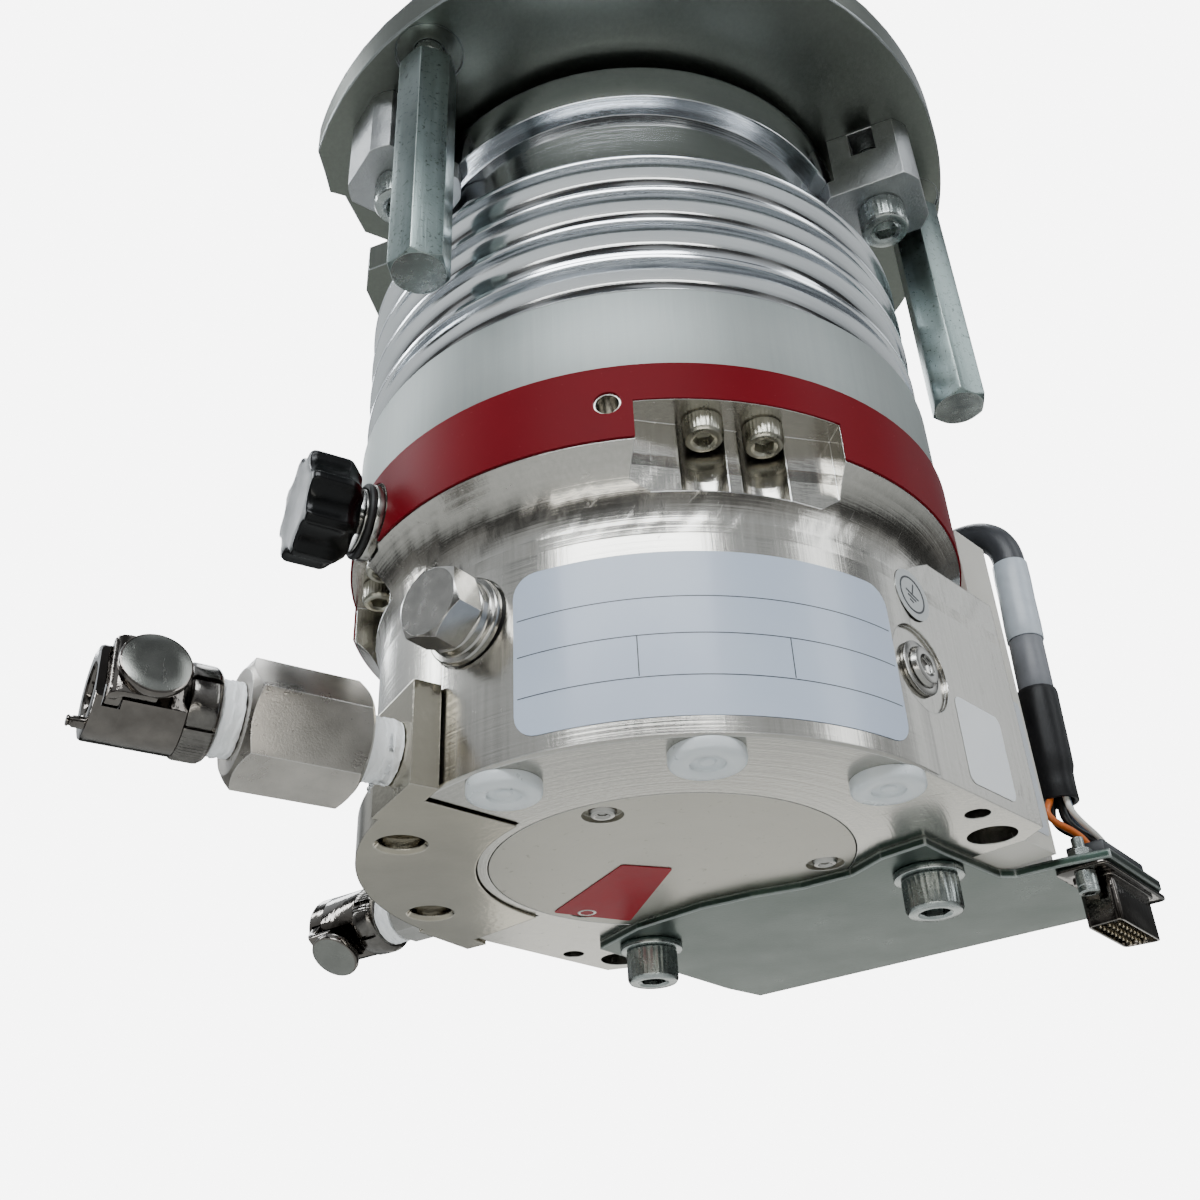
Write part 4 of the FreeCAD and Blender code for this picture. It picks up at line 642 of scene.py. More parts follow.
class PUMP_OT_stage(PumpPiece, bpy.types.Operator):
    """Set up the camera, the pale floor and the soft studio light"""
    bl_idname = "pump.stage"
    bl_label = "Stage"

    def execute(self, context):
        scene = context.scene
        pitch, roll = math.radians(31.98), math.radians(-2.78)
        look = Vector((0.0, math.cos(pitch), math.sin(pitch)))
        right = Vector((1.0, 0.0, 0.0))
        up = right.cross(look)
        tilted_right = right * math.cos(roll) + up * math.sin(roll)
        tilted_up = up * math.cos(roll) - right * math.sin(roll)
        lens = bpy.data.cameras.new("photo_camera")
        lens.sensor_fit = "HORIZONTAL"
        lens.sensor_width = 36.0
        lens.lens = 38.29
        lens.clip_start = 0.01
        camera = bpy.data.objects.new("photo_camera", lens)
        turn = Matrix((tilted_right, tilted_up, -look)).transposed().to_4x4()
        camera.matrix_world = Matrix.Translation(BASE @ Vector((-13.2, -275.2, -100.4))) @ turn
        scene.collection.objects.link(camera)
        scene.camera = camera

        world = bpy.data.worlds.new("studio")
        scene.world = world
        world.use_nodes = True
        tree = world.node_tree
        tree.nodes.clear()
        way = node(tree, "TexCoord").outputs["Generated"]
        level = node(tree, "SeparateXYZ", {"Vector": way}).outputs["Z"]
        rise = node(tree, "MapRange", {"Value": level, "From Min": -0.3, "From Max": 0.9, "To Min": 0.10,
                                       "To Max": 0.56}, interpolation_type="SMOOTHSTEP").outputs[0]
        walls = node(tree, "TexNoise", {"Vector": way, "Scale": 2.1, "Detail": 1.0,
                                        "Roughness": 0.4}).outputs["Fac"]
        parted = node(tree, "MapRange", {"Value": walls, "From Min": 0.44, "From Max": 0.56, "To Min": 0.25,
                                         "To Max": 1.7}, interpolation_type="SMOOTHSTEP").outputs[0]
        rise = node(tree, "Math", {0: rise, 1: parted}, operation="MULTIPLY").outputs[0]
        height = node(tree, "MapRange", {"Value": level, "From Min": -0.4, "From Max": 0.5}).outputs[0]
        tint = node(tree, "Mix", {0: height, 6: (1.0, 0.965, 0.90, 1.0), 7: (0.90, 0.955, 1.0, 1.0)},
                    data_type="RGBA").outputs[2]
        room = node(tree, "Background", {"Color": tint, "Strength": rise}).outputs[0]
        wall = node(tree, "Background", {"Color": (1.0, 1.0, 1.0, 1.0), "Strength": 7.0}).outputs[0]
        seen = node(tree, "LightPath").outputs["Is Camera Ray"]
        both = node(tree, "MixShader", {0: seen, 1: room, 2: wall}).outputs[0]
        node(tree, "OutputWorld", {"Surface": both})

        bm = bmesh.new()
        bmesh.ops.create_circle(bm, cap_ends=True, segments=96, radius=2.2)
        bmesh.ops.translate(bm, vec=(0, 0, -0.60), verts=bm.verts)
        mesh = bpy.data.meshes.new("studio_floor")
        bm.to_mesh(mesh)
        bm.free()
        finish("floor_paper", "#BEBEBB", "#C8C8C5", 0.8, metallic=0.0, cloud=300)
        mesh.materials.append(FINISHES["floor_paper"])
        floor = bpy.data.objects.new("studio_floor", mesh)
        scene.collection.objects.link(floor)

        power = scene.pump_sizes.key_power
        aim = Vector((0, 0, -0.15))
        cool, warm = (0.93, 0.97, 1.0), (1.0, 0.985, 0.925)
        lamps = (("key_light", (-0.14, -0.95, 0.50), (1.05, 0.28), 0.72, cool),
                 ("left_strip", (-0.98, 0.12, 0.44), (0.14, 0.90), 0.42, cool),
                 ("right_strip", (0.86, -0.40, 0.40), (0.26, 0.90), 0.17, cool),
                 ("right_card", (0.98, 0.34, 0.42), (0.34, 0.60), 0.035, cool),
                 ("back_card", (-0.30, 1.00, 0.62), (1.10, 0.30), 0.44, cool),
                 ("ceiling", (0.03, 0.44, 1.00), (0.70, 0.50), 0.42, cool),
                 ("low_fill", (-0.10, -1.15, -0.46), (1.50, 0.12), 0.22, warm),
                 ("floor_glow", (0.20, 0.95, -0.55), (0.70, 0.35), 0.060, warm))
        for name, place, size, share, colour in lamps:
            lamp = bpy.data.lights.new(name, "AREA")
            lamp.color = colour
            lamp.shape = "RECTANGLE"
            lamp.size, lamp.size_y = size
            lamp.energy = power * share
            obj = bpy.data.objects.new(name, lamp)
            turn = (aim - Vector(place)).to_track_quat("-Z", "Y")
            obj.matrix_world = Matrix.Translation(place) @ turn.to_matrix().to_4x4()
            scene.collection.objects.link(obj)
        return {"FINISHED"}


class PUMP_OT_finishes(PumpPiece, bpy.types.Operator):
    """Make the finishes and give them to the frame's own pieces"""
    bl_idname = "pump.finishes"
    bl_label = "Finishes"

    def execute(self, context):
        make_finishes(context.scene.pump_colours)
        for name, nodes in NODE_FINISHES.items():
            for label in nodes:
                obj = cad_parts[label]
                if not obj.material_slots:
                    obj.data.materials.append(FINISHES[name])
                for held in obj.material_slots:
                    held.material = FINISHES[name]
        return {"FINISHED"}


class PUMP_OT_cable(PumpPiece, bpy.types.Operator):
    """Make the drive's cable, its sleeves and the wires that run to the connector"""
    bl_idname = "pump.cable"
    bl_label = "Cable"

    def execute(self, context):
        top = 99.6
        low = Vector((95.6, 15.4, 19.8))
        corner = Vector((98.4, 15.6, top))
        run = low - corner
        second = corner + run * (29.0 / run.length)
        start = drive_point(78.0, 31.0, 81.0)
        route = [start, Vector((start.x, start.y, top)), corner, second, low]
        cable = line_through(route, "drive_cable", 4.2, "dark_jacket", "grey_jacket")
        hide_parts("cable")
        down = run.normalized()

        def collar(name, high, bottom, profile, paint, slot, nodes=()):
            length = (high - bottom) / -down.z
            bm = turned([(r, z * length) for r, z in profile], 64, closed=True, width=0.15)
            for v in bm.verts:
                wave = noise.noise(Vector((v.co.x * 0.35, v.co.y * 0.35, v.co.z * 0.12))) * 0.16
                pull(v, 1.0 + wave / 5.0)
            place = seat(corner + down * ((top - high) / -down.z), down)
            return publish(joined((bm, place)), name, (paint,), slot, nodes)

        sleeve = collar("cable_label_sleeve", 85.5, 62.0, [
            (4.22, 0.0), (4.62, 0.0), (4.66, 0.2), (4.6, 0.5), (4.66, 0.8), (4.62, 1.0), (4.22, 1.0)],
                        "white_sleeve", "white_sleeve", ("cable_sleeve",))
        jacket = collar("cable_grey_jacket", 62.0, 46.0, [(4.21, 0.0), (4.34, 0.02), (4.34, 0.98), (4.21, 1.0)],
                        "grey_jacket", "grey_jacket")
        shrink = collar("cable_heatshrink", 47.0, 17.0, [
            (4.22, 0.0), (4.95, 0.0), (5.1, 0.04), (5.02, 0.2), (5.12, 0.42), (5.0, 0.6), (4.95, 0.70),
            (4.55, 0.76), (4.5, 0.86), (4.6, 1.0), (3.6, 1.0)],
                        "shrink_tube", "black_rubber", ("cable_shrink",))
        back = 4.9
        runs = (("wire_orange", "orange_wire", (-2.0, -1.0), (-6.4, -4.2, 12.0), -5.0, 1.2, 0.85),
                ("wire_black", "black_wire", (0.2, 0.6), (0.6, 1.0, 11.5), 0.5, 0.6, 1.0),
                ("wire_white", "white_wire", (0.8, -1.8), (0.9, -3.4, 12.5), 3.6, -0.6, 0.75),
                ("wire_blue", "blue_wire", (2.2, 0.9), (3.6, 3.0, 13.0), 6.6, 1.0, 0.85),
                ("wire_dark", "black_wire", (1.4, 2.0), (2.2, 3.4, 12.0), 3.0, 1.6, 0.8),
                ("wire_shade", "black_wire", (-1.2, 1.4), (-2.2, 2.8, 12.0), -2.6, 1.6, 0.8))
        for name, paint, (x, y), (bx, by, bz), along, across, radius in runs:
            first = low + Vector((x, y, 1.5))
            target = connector_point(along, across, back)
            wire = line_through([first, first + Vector((0, 0, -3.2)), low + Vector((bx, by, bz - 19.8)),
                                 target + Vector((0, 0, 3.6)), target], name, radius, paint, "wire_insulation")
            if name == "wire_black":
                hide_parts("cable_wires")
        return {"FINISHED"}


class PUMP_OT_barrel(PumpPiece, bpy.types.Operator):
    """Turn the finned barrel with its neck, inlet flange and stepped bore"""
    bl_idname = "pump.barrel"
    bl_label = "Barrel"

    def execute(self, context):
        fin, floor, joint = 73.7, 68.4, 82.2
        deep = fin - floor
        points = [(60.0, joint), (74.4, joint), (74.4, 104.2)]
        tops = (105.2, 116.0, 128.0, 138.4, 149.8)
        for level, upper in zip(tops, tops[1:]):
            start = upper - 1.2 - deep
            points += [(fin, level), (floor, level), (floor, start)]
            for index in range(1, 8):
                bend = math.radians(11.25 * index)
                points.append((fin - deep * math.cos(bend), start + deep * math.sin(bend)))
            points += [(fin, start + deep), (fin, upper)]
        points += [(71.5, 152.0), (63.5, 152.0), (61.9, 152.35), (60.7, 153.2), (59.8, 154.5), (59.5, 156.0),
                   (59.5, 183.0), (65.0, 183.0), (65.0, 195.0), (52.2, 195.0), (52.2, 191.8), (51.0, 191.8),
                   (51.0, 186.5), (52.9, 186.5), (52.9, 183.0), (56.0, 183.0), (56.0, 90.0), (60.0, 90.0)]
        barrel = turned(points, 256, closed=True, width=0.28)
        publish(joined((barrel, None, lambda face: 1 if face.calc_center_median().z < 104.5 else 0)),
                "barrel_turned", ("turned_aluminium", "satin_aluminium"), "turned_aluminium",
                ("upper_housing",))
        return {"FINISHED"}


class PUMP_OT_screws(PumpPiece, bpy.types.Operator):
    """Make the socket-head screws of the rim, the bracket, the claws and the drive"""
    bl_idname = "pump.screws"
    bl_label = "Screws"

    def execute(self, context):
        pairs = [-76.0 + 90.0 * index + side for index in range(4) for side in (-5.6, 5.6)]
        bolts = ((-4.3, 51.5, 12.0), (58.5, 6.2, 47.0))
        # The name, finish, slot, replaced node, sizes and places of each kind of screw
        kinds = (
            ("rim_cap_screws", "dull_zinc", "zinc_plate", "rim_screws", (4.35, 5.2, 4.0, 2.5, 19.5, 32),
             [seat(polar(68.0, turn, 72.25), DOWN, polar(1.0, turn * 3.0)) for turn in pairs]),
            ("bracket_cap_screws", "zinc_screw", "zinc_plate", "bracket_screws",
             (6.5, 8.0, 6.0, 4.0, 17.6, 32, 0.2),
             [seat((x, y, -3.75), DOWN, polar(1.0, spin)) for x, y, spin in bolts]),
            ("claw_cap_screws", "zinc_screw", "zinc_plate", "claw_screws", (6.5, 8.0, 6.0, 4.0, 28.5, 32, 0.2),
             [seat(polar(76.0, turn, 176.75), DOWN, polar(1.0, turn + 9.0)) for turn in (-22.0, 98.0, -144.0)]),
            ("cover_button_screws", "stainless", "stainless", "cover_screws", (3.0, 1.75, 2.0, 1.5, 10.4),
             [seat(polar(35.0, turn, 1.5), DOWN, polar(1.0, turn)) for turn in (-115.0, 5.0, 125.0)]),
            ("cooling_low_screws", "stainless", "stainless", "cooling_screws", (4.4, 2.0, 3.0, 2.5, 10.0),
             [seat(polar(61.5, turn, 4.95), DOWN, polar(1.0, turn)) for turn in (158.7, 201.3)]),
            ("drive_cap_screws", "oiled_steel", "screw_steel", "drive_screws", (3.5, 4.0, 3.0, 2.0, 20.0, 24),
             [seat(drive_point(64.35, side, level), drive_point(1.0, 0.0), UP)
              for side in (-52.0, 52.0) for level in (12.0, 44.0)]))
        for name, paint, slot, label, sizes, places in kinds:
            screws = joined(*[(cap_screw(*sizes), place) for place in places])
            publish(screws, name, (paint,), slot, (label,), crease=28.0)
        rings = bmesh.new()
        for bolt in bolts:
            ring = turned([(4.35, 0.0), (8.0, 0.0), (8.0, 1.6), (4.35, 1.6)], 72, closed=True, width=0.28)
            gather(rings, ring, seat((*bolt[:2], -3.7), UP, (1, 0, 0)))
        publish(rings, "bracket_flat_washers", ("zinc_screw",), "zinc_plate", ("bracket_washers",))
        return {"FINISHED"}


class PUMP_OT_vent(PumpPiece, bpy.types.Operator):
    """Make the vent valve's fluted knob, its collar and its stem"""
    bl_idname = "pump.vent"
    bl_label = "Vent valve"

    def execute(self, context):
        turn, level = -149.5, 71.0
        axis = polar(1.0, turn)
        radius = context.scene.pump_sizes.knob_radius / MM
        points = [(3.15, 8.6), (3.15, 0.0), (9.7, 0.0), (10.2, 0.25), (12.2, 2.2), (12.8, 2.9), (radius, 3.6),
                  (radius, 6.0), (radius, 9.0), (radius, 11.0), (12.85, 11.7), (12.4, 12.25), (11.8, 12.5),
                  (11.1, 12.6), (8.0, 12.48), (4.0, 12.4), (0.0, 12.38)]
        knob = turned(points, 240)
        cutter, centre = 6.2, radius + 3.9
        for v in knob.verts:
            r = reach_of(v)
            if r > 9.0:
                part = math.radians(math.degrees(turn_of(v)) % 45.0 - 22.5)
                side = centre * math.sin(part)
                if abs(side) < cutter:
                    wall = centre * math.cos(part) - math.sqrt(cutter ** 2 - side ** 2)
                    soft = max(r - wall + (radius - r) * 0.75, 0.0)
                    pull(v, (r - soft * soft / (soft + 0.25)) / r)
        publish(joined((knob, seat(polar(80.25, turn, level), axis, UP),
                        lambda face: 1 if face.normal.z > 0.9 and face.calc_center_median().z > 12.0 else 0)),
                "vent_fluted_knob", ("black_plastic", "rubbed_plastic"), "black_plastic", ("vent_knob",),
                "vent_handle", crease=50.0)
        place = seat(polar(74.15, turn, level), axis, UP)
        collar = turned([(3.08, -10.8), (5.95, -10.8), (5.95, 0.1), (8.4, 0.1), (9.0, 0.5), (9.0, 2.35),
                         (8.8, 2.58), (7.5, 2.62), (7.4, 2.8), (7.4, 4.35), (7.25, 4.55), (3.08, 4.55)], 96,
                        closed=True, width=0.12)
        publish(joined((collar, place)), "vent_collar", ("stainless",), "stainless", ("vent_neck",),
                crease=28.0)
        stem = turned([(0.0, -16.0), (4.3, -16.0), (4.6, -15.7), (4.6, -14.3), (4.3, -14.0), (1.6, -14.0),
                       (1.6, -9.2), (2.8, -9.0), (3.0, -8.7), (3.0, 14.6), (2.6, 15.0), (0.0, 15.0)], 48)
        publish(joined((stem, place)), "vent_spindle_stem", ("stainless",), "stainless", ("vent_stem",),
                "vent_spindle")
        return {"FINISHED"}


class PUMP_OT_plug(PumpPiece, bpy.types.Operator):
    """Make the hexagon plug and the earth screw in their spotfaces"""
    bl_idname = "pump.plug"
    bl_label = "Plug and earth screw"

    def execute(self, context):
        axis = polar(1.0, -127.0)
        place = seat(polar(66.7, -127.0, 34.0), axis)
        body = turned([(0.0, -13.8), (4.6, -13.8), (5.0, -13.3), (5.0, 0.0), (9.2, 0.0), (9.6, 0.4), (9.6, 1.7),
                       (9.3, 2.05), (8.3, 2.2), (8.0, 2.5), (8.0, 4.1), (7.7, 4.5), (0.0, 4.5)], 96, width=0.12)
        head = hexagon_bar(15.0, 4.4, 11.8, face=0.97, rings=5)
        # The turned cone in the end face and its centre mark
        for v in head.verts:
            radius = reach_of(v)
            if v.co.z > 11.7 and radius < 7.4:
                v.co.z = 11.72 + 0.08 * radius / 7.3
        twist = Matrix.Rotation(math.radians(12.0), 4, "Z")
        # The hexagon's end face takes the darker stainless copy, painted shade
        publish(joined((body, place), (head, place @ twist, lambda face: 1 if face.normal.z > 0.95 else 0)),
                "hexagon_plug", ("stainless", "shaded_end_stainless"), "stainless", ("hex_plug",), crease=24.0)
        outward = drive_point(0.0, 1.0)
        ring = turned([(0.0, -9.8), (2.0, -9.8), (2.0, 0.0), (6.2, 0.0), (6.2, 0.95), (4.7, 1.1)], 72,
                      width=0.15)
        publish(joined((ring, seat(drive_point(6.5, 65.95, 25.0), outward, UP)),
                       (cap_screw(4.6, 1.5, 3.6, 2.0, 0.6), seat(drive_point(6.5, 66.9, 25.0), outward, UP))),
                "earth_cap_screw", ("stainless",), "stainless", ("earth_screw",), crease=28.0)
        return {"FINISHED"}


class PUMP_OT_feet(PumpPiece, bpy.types.Operator):
    """Make the milky plastic feet"""
    bl_idname = "pump.feet"
    bl_label = "Feet"

    def execute(self, context):
        whole = bmesh.new()
        for turn in (-124.0, -85.0, -46.0):
            foot = turned([(0.0, 0.0), (7.45, 0.0), (7.5, 0.3), (7.5, 1.8), (7.3, 2.3), (6.8, 2.58),
                           (3.75, 2.6), (3.45, 2.4), (3.4, 1.8), (3.1, 1.7), (1.7, 1.7), (1.5, 1.95),
                           (1.1, 2.05), (0.0, 2.05)], 72)
            gather(whole, foot, seat(polar(59.5, turn, -0.05), DOWN, (1, 0, 0)))
        publish(whole, "moulded_feet", ("milky_plastic",), "milky_plastic", ("feet",), crease=40.0)
        return {"FINISHED"}


# The fittings of the couplings: the name, the turn and place, and where along it the coupling starts
FITTINGS = (("front", seat((-56.0, -45.2, 9.8), (-0.84339, -0.53730, 0.0), (0.52914, -0.83058, 0.17365)), 35.9),
            ("rear", seat((-57.0, 44.0, 9.8), (-0.84339, 0.53730, 0.0), (-0.30818, -0.48375, -0.81915)), 17.8))
FRONT, REAR = (place for name, place, start in FITTINGS)


class PUMP_OT_tapes(PumpPiece, bpy.types.Operator):
    """Wind the white thread tape, with its frayed ends, and make the two adapters"""
    bl_idname = "pump.tapes"
    bl_label = "Tapes and adapters"

    def execute(self, context):
        tapes = bmesh.new()
        rolls = ((FRONT, 0.1, 7.5, 6.7), (FRONT, 31.75, 35.75, 7.5), (REAR, 13.25, 17.65, 7.5))
        for number, (place, low, high, radius) in enumerate(rolls):
            core = radius - 1.6
            rows = round((high - low) / 0.2)
            points = [(core, low)] + [(radius, low + (high - low) * i / rows) for i in range(rows + 1)]
            roll = turned(points + [(core, high)], 128, closed=True)
            for v in roll.verts:
                out = reach_of(v)
                if out > radius - 0.1:
                    turn = turn_of(v)
                    ring = Vector((math.cos(turn), math.sin(turn), 0.0))
                    drift = noise.noise(ring * 1.7 + Vector((number, 0, 0)))
                    layer = (v.co.z / 1.7 + turn / math.tau + 0.35 * drift) % 1.0
                    fold = noise.noise(ring * 2.2 + Vector((0, number, v.co.z * 0.5)))
                    crinkle = noise.noise(ring * 7.0 + Vector((number, 5, v.co.z * 2.2)))
                    pull(v, (radius - 0.32 + 0.26 * layer + 0.30 * fold + 0.12 * crinkle) / out)
                    edge = min(v.co.z - low, high - v.co.z)
                    if edge < 0.15:
                        v.co.z += 0.16 * noise.noise(ring * 4.0 + Vector((3, number, 0)))
            gather(tapes, roll, place)
        strands = ((-1.9, 5.0, 0.7), (-1.4, 3.6, 0.5), (-2.6, 4.2, 0.6), (-0.6, 3.0, 0.45), (-2.2, 2.6, 0.35))
        for index, (angle, length, width) in enumerate(strands):
            strand = bmesh.new()
            bmesh.ops.create_grid(strand, x_segments=14, y_segments=1, size=0.5)
            for v in strand.verts:
                share = v.co.x + 0.5
                turn = angle + share * 0.45 + 0.2 * noise.noise(Vector((share * 3.0, index, 0.0)))
                stray = noise.noise(Vector((share * 4.0, index, 3.0)))
                out = 6.55 + share * share * length * 0.45 + 0.2 * stray
                level = 1.6 + 0.8 * share + v.co.y * 2.0 * width * (1.0 - 0.5 * share) + 0.3 * index
                v.co = Vector((out * math.cos(turn), out * math.sin(turn), level))
            bmesh.ops.solidify(strand, geom=strand.faces[:], thickness=0.07)
            gather(tapes, strand, FRONT)
        publish(tapes, "wound_thread_tapes", ("thread_tape",), "thread_tape", ("thread_tapes",), crease=60.0)

        bar = hexagon_bar(22.0, 7.6, 31.6, bore=4.8, face=0.93, slope=0.62)
        ease(bar, 0.22, limit=50.0)
        publish(joined((bar, FRONT)), "hose_hexagon_adapter", ("adapter_steel",), "hose_adapter_steel",
                ("hose_adapter",), crease=24.0)
        neck = turned([(4.7, -2.6), (5.1, -2.6), (5.1, 0.2), (4.7, 0.2)], 48, closed=True)
        publish(joined((hexagon_bar(14.0, 0.1, 13.1, bore=4.8, face=0.94), REAR), (neck, REAR)),
                "rear_hexagon_adapter", ("stainless",), "stainless", ("rear_adapter",), crease=24.0)
        return {"FINISHED"}


class PUMP_OT_couplings(PumpPiece, bpy.types.Operator):
    """Make the two quick couplings with their thumb latches and valve poppets"""
    bl_idname = "pump.couplings"
    bl_label = "Quick couplings"

    def execute(self, context):
        for name, fitting, start in FITTINGS:
            # Local z runs out along the fitting and local x towards the thumb latch
            place = fitting @ Matrix.Translation((0.0, 0.0, start))
            body = bmesh.new()
            tail = turned([(3.3, -9.4), (4.2, -9.4), (4.6, -9.0), (4.6, 0.3), (3.3, 0.3)], 64, closed=True)
            gather(body, tail, place)
            ring = turned([(3.3, 0.0), (7.9, 0.0), (8.6, 0.45), (9.1, 1.1), (9.2, 1.6), (9.2, 3.6), (9.2, 5.4),
                           (8.95, 6.0), (8.3, 6.25), (3.3, 6.25)], 288, closed=True, width=0.1)
            for v in ring.verts:
                out = reach_of(v)
                turn = math.degrees(turn_of(v))
                if out > 8.7 and 1.0 < v.co.z < 6.1:
                    if abs((turn + 22.0) % 60.0 - 30.0) < 3.2:
                        depth = 1.1
                    elif abs(turn) < 52.0:
                        depth = 0.05
                    else:
                        depth = 0.16 * (0.5 - 0.5 * math.cos(math.radians(turn) * 72.0))
                        depth += 0.10 * abs(noise.noise(Vector((turn * 0.4, v.co.z * 0.8, 0.0))))
                    pull(v, 1.0 - depth / out)
            gather(body, ring, place, 1)
            flat = (6.9, 0.0, 0.0)
            barrel = turned([(3.3, 6.0), (8.65, 6.0), (8.8, 6.2), (8.8, 17.4), (5.0, 17.4), (5.0, 10.6),
                             (3.3, 10.6)], 128, closed=True)
            trim(barrel, flat, (1, 0, 0))
            ease(barrel, 0.18, limit=40.0)
            gather(body, barrel, place)
            mouth = turned([(5.0, 20.6), (8.8, 20.6), (8.8, 21.4), (8.55, 21.85), (8.1, 22.0), (5.7, 22.0),
                            (5.15, 21.6), (5.0, 21.2)], 128, closed=True)
            trim(mouth, flat, (1, 0, 0))
            gather(body, mouth, place)
            for side in (-1, 1):
                cheek = turned([(5.0, 17.3), (8.8, 17.3), (8.8, 20.7), (5.0, 20.7)], 96, closed=True)
                trim(cheek, (0.0, side * 6.7, 0.0), (0, -side, 0))
                gather(body, cheek, place)
            pin = turned([(0.0, 21.0), (1.1, 21.0), (1.1, 23.9), (0.85, 24.2), (0.85, 24.45), (1.1, 24.7),
                          (0.9, 25.0), (0.0, 25.0)], 32)
            gather(body, pin, place @ Matrix.Translation((0.0, -6.9, 0.0)))
            publish(body, f"coupling_{name}_body", ("chrome_plate", "chrome_knurl"), "chrome_plate",
                    ("coupling_" + name,), crease=28.0)

            outer = rounded([(-6.4, -6.4), (9.6, -6.4), (9.6, 6.4), (-6.4, 6.4)], 1.6, 11)
            turns = [math.tau * index / len(outer) - math.radians(135.0) for index in range(len(outer))]
            inner = [(0.3 + 5.4 * math.cos(angle), 5.4 * math.sin(angle)) for angle in turns]
            strip = outline([(8.9, 12.1), (10.4, 12.1), (10.4, 18.0), (10.15, 19.2), (9.4, 20.0), (8.4, 20.3),
                             (7.4, 20.3), (7.4, 18.6), (8.3, 18.2), (8.9, 17.4)], -6.4, 6.4)
            ease(strip, 0.3, limit=60.0)
            quarter = math.radians(90.0)
            lying = place @ Matrix.Rotation(quarter, 4, "X")
            disc = turned([(0.0, 10.0), (5.9, 10.0), (6.3, 10.3), (6.5, 10.9), (6.5, 11.7), (6.35, 12.05),
                           (6.0, 12.2), (3.0, 12.24), (0.0, 12.25)], 96)
            standing = place @ Matrix.Translation((0.0, 0.0, 13.4)) @ Matrix.Rotation(quarter, 4, "Y")
            latch = joined((frame_plate(outer, inner, 17.7, 20.3, 0.2), place), (strip, lying),
                           (disc, standing, lambda face: 1 if face.normal.z > 0.97 else 0))
            publish(latch, f"latch_{name}_thumb", ("chrome_plate", "satin_chrome"), "chrome_plate",
                    ("latch_" + name,), name + "_latch", crease=28.0)

            poppet = turned([(0.0, 1.0), (2.9, 1.0), (3.2, 1.3), (3.2, 8.5), (3.6, 8.75), (4.1, 8.9),
                             (4.2, 9.2), (4.2, 9.9), (3.9, 10.2), (3.2, 10.3), (2.4, 10.1), (1.2, 10.25),
                             (0.0, 10.3)], 64)
            publish(joined((poppet, place)), f"poppet_{name}_valve", ("brass",), "brass_inner",
                    ("poppet_" + name,), name + "_poppet")
        return {"FINISHED"}


class PUMP_OT_posts(PumpPiece, bpy.types.Operator):
    """Make the hexagon posts with their turned lower faces and necked studs"""
    bl_idname = "pump.posts"
    bl_label = "Posts"

    def execute(self, context):
        whole = bmesh.new()
        for turn in (-126.5, -8.0, 113.0):
            place = seat(polar(85.5, turn), UP, polar(1.0, turn + 30.0))
            bar = hexagon_bar(13.0, 118.5, 193.0, face=0.97, slope=0.75, rings=6)
            ease(bar, 0.25, limit=50.0)
            gather(whole, bar, place, lambda face: 1 if face.normal.z < -0.9 else 0)
            stud = turned([(0.0, 192.9), (6.1, 192.9), (6.0, 193.5), (4.9, 194.3), (4.1, 195.2), (4.0, 195.9),
                           (4.35, 196.3), (4.35, 197.9), (4.0, 198.3), (4.0, 206.4), (0.0, 206.4)], 64,
                          width=0.15)
            gather(whole, stud, place, 2)
        publish(whole, "chamfered_posts", ("zinc_plate", "faced_zinc", "zinc_screw"), "zinc_plate",
                ("hex_posts",), crease=26.0)
        return {"FINISHED"}


class PUMP_OT_rim(PumpPiece, bpy.types.Operator):
    """Turn the smooth rim of the round part of the mounting plate"""
    bl_idname = "pump.rim"
    bl_label = "Plate rim"

    def execute(self, context):
        low, high, out, chamfer = 199.02, 208.98, 95.05, 0.4
        start, end = -155.0, 151.0
        profile = [(94.6, low), (out - chamfer, low), (out, low + chamfer), (out, high - chamfer),
                   (out - chamfer, high), (94.6, high)]
        bm = bmesh.new()
        face = bm.faces.new([bm.verts.new((*polar(radius, start).xy, level)) for radius, level in profile])
        bmesh.ops.spin(bm, geom=[face], cent=(0, 0, 0), axis=UP, dvec=(0, 0, 0),
                       angle=math.radians(end - start), steps=204, use_merge=False, use_duplicate=False)
        bmesh.ops.remove_doubles(bm, verts=bm.verts, dist=WELD)
        bmesh.ops.recalc_face_normals(bm, faces=bm.faces)
        publish(bm, "plate_turned_rim", ("plate_steel",), "plate_steel")
        return {"FINISHED"}


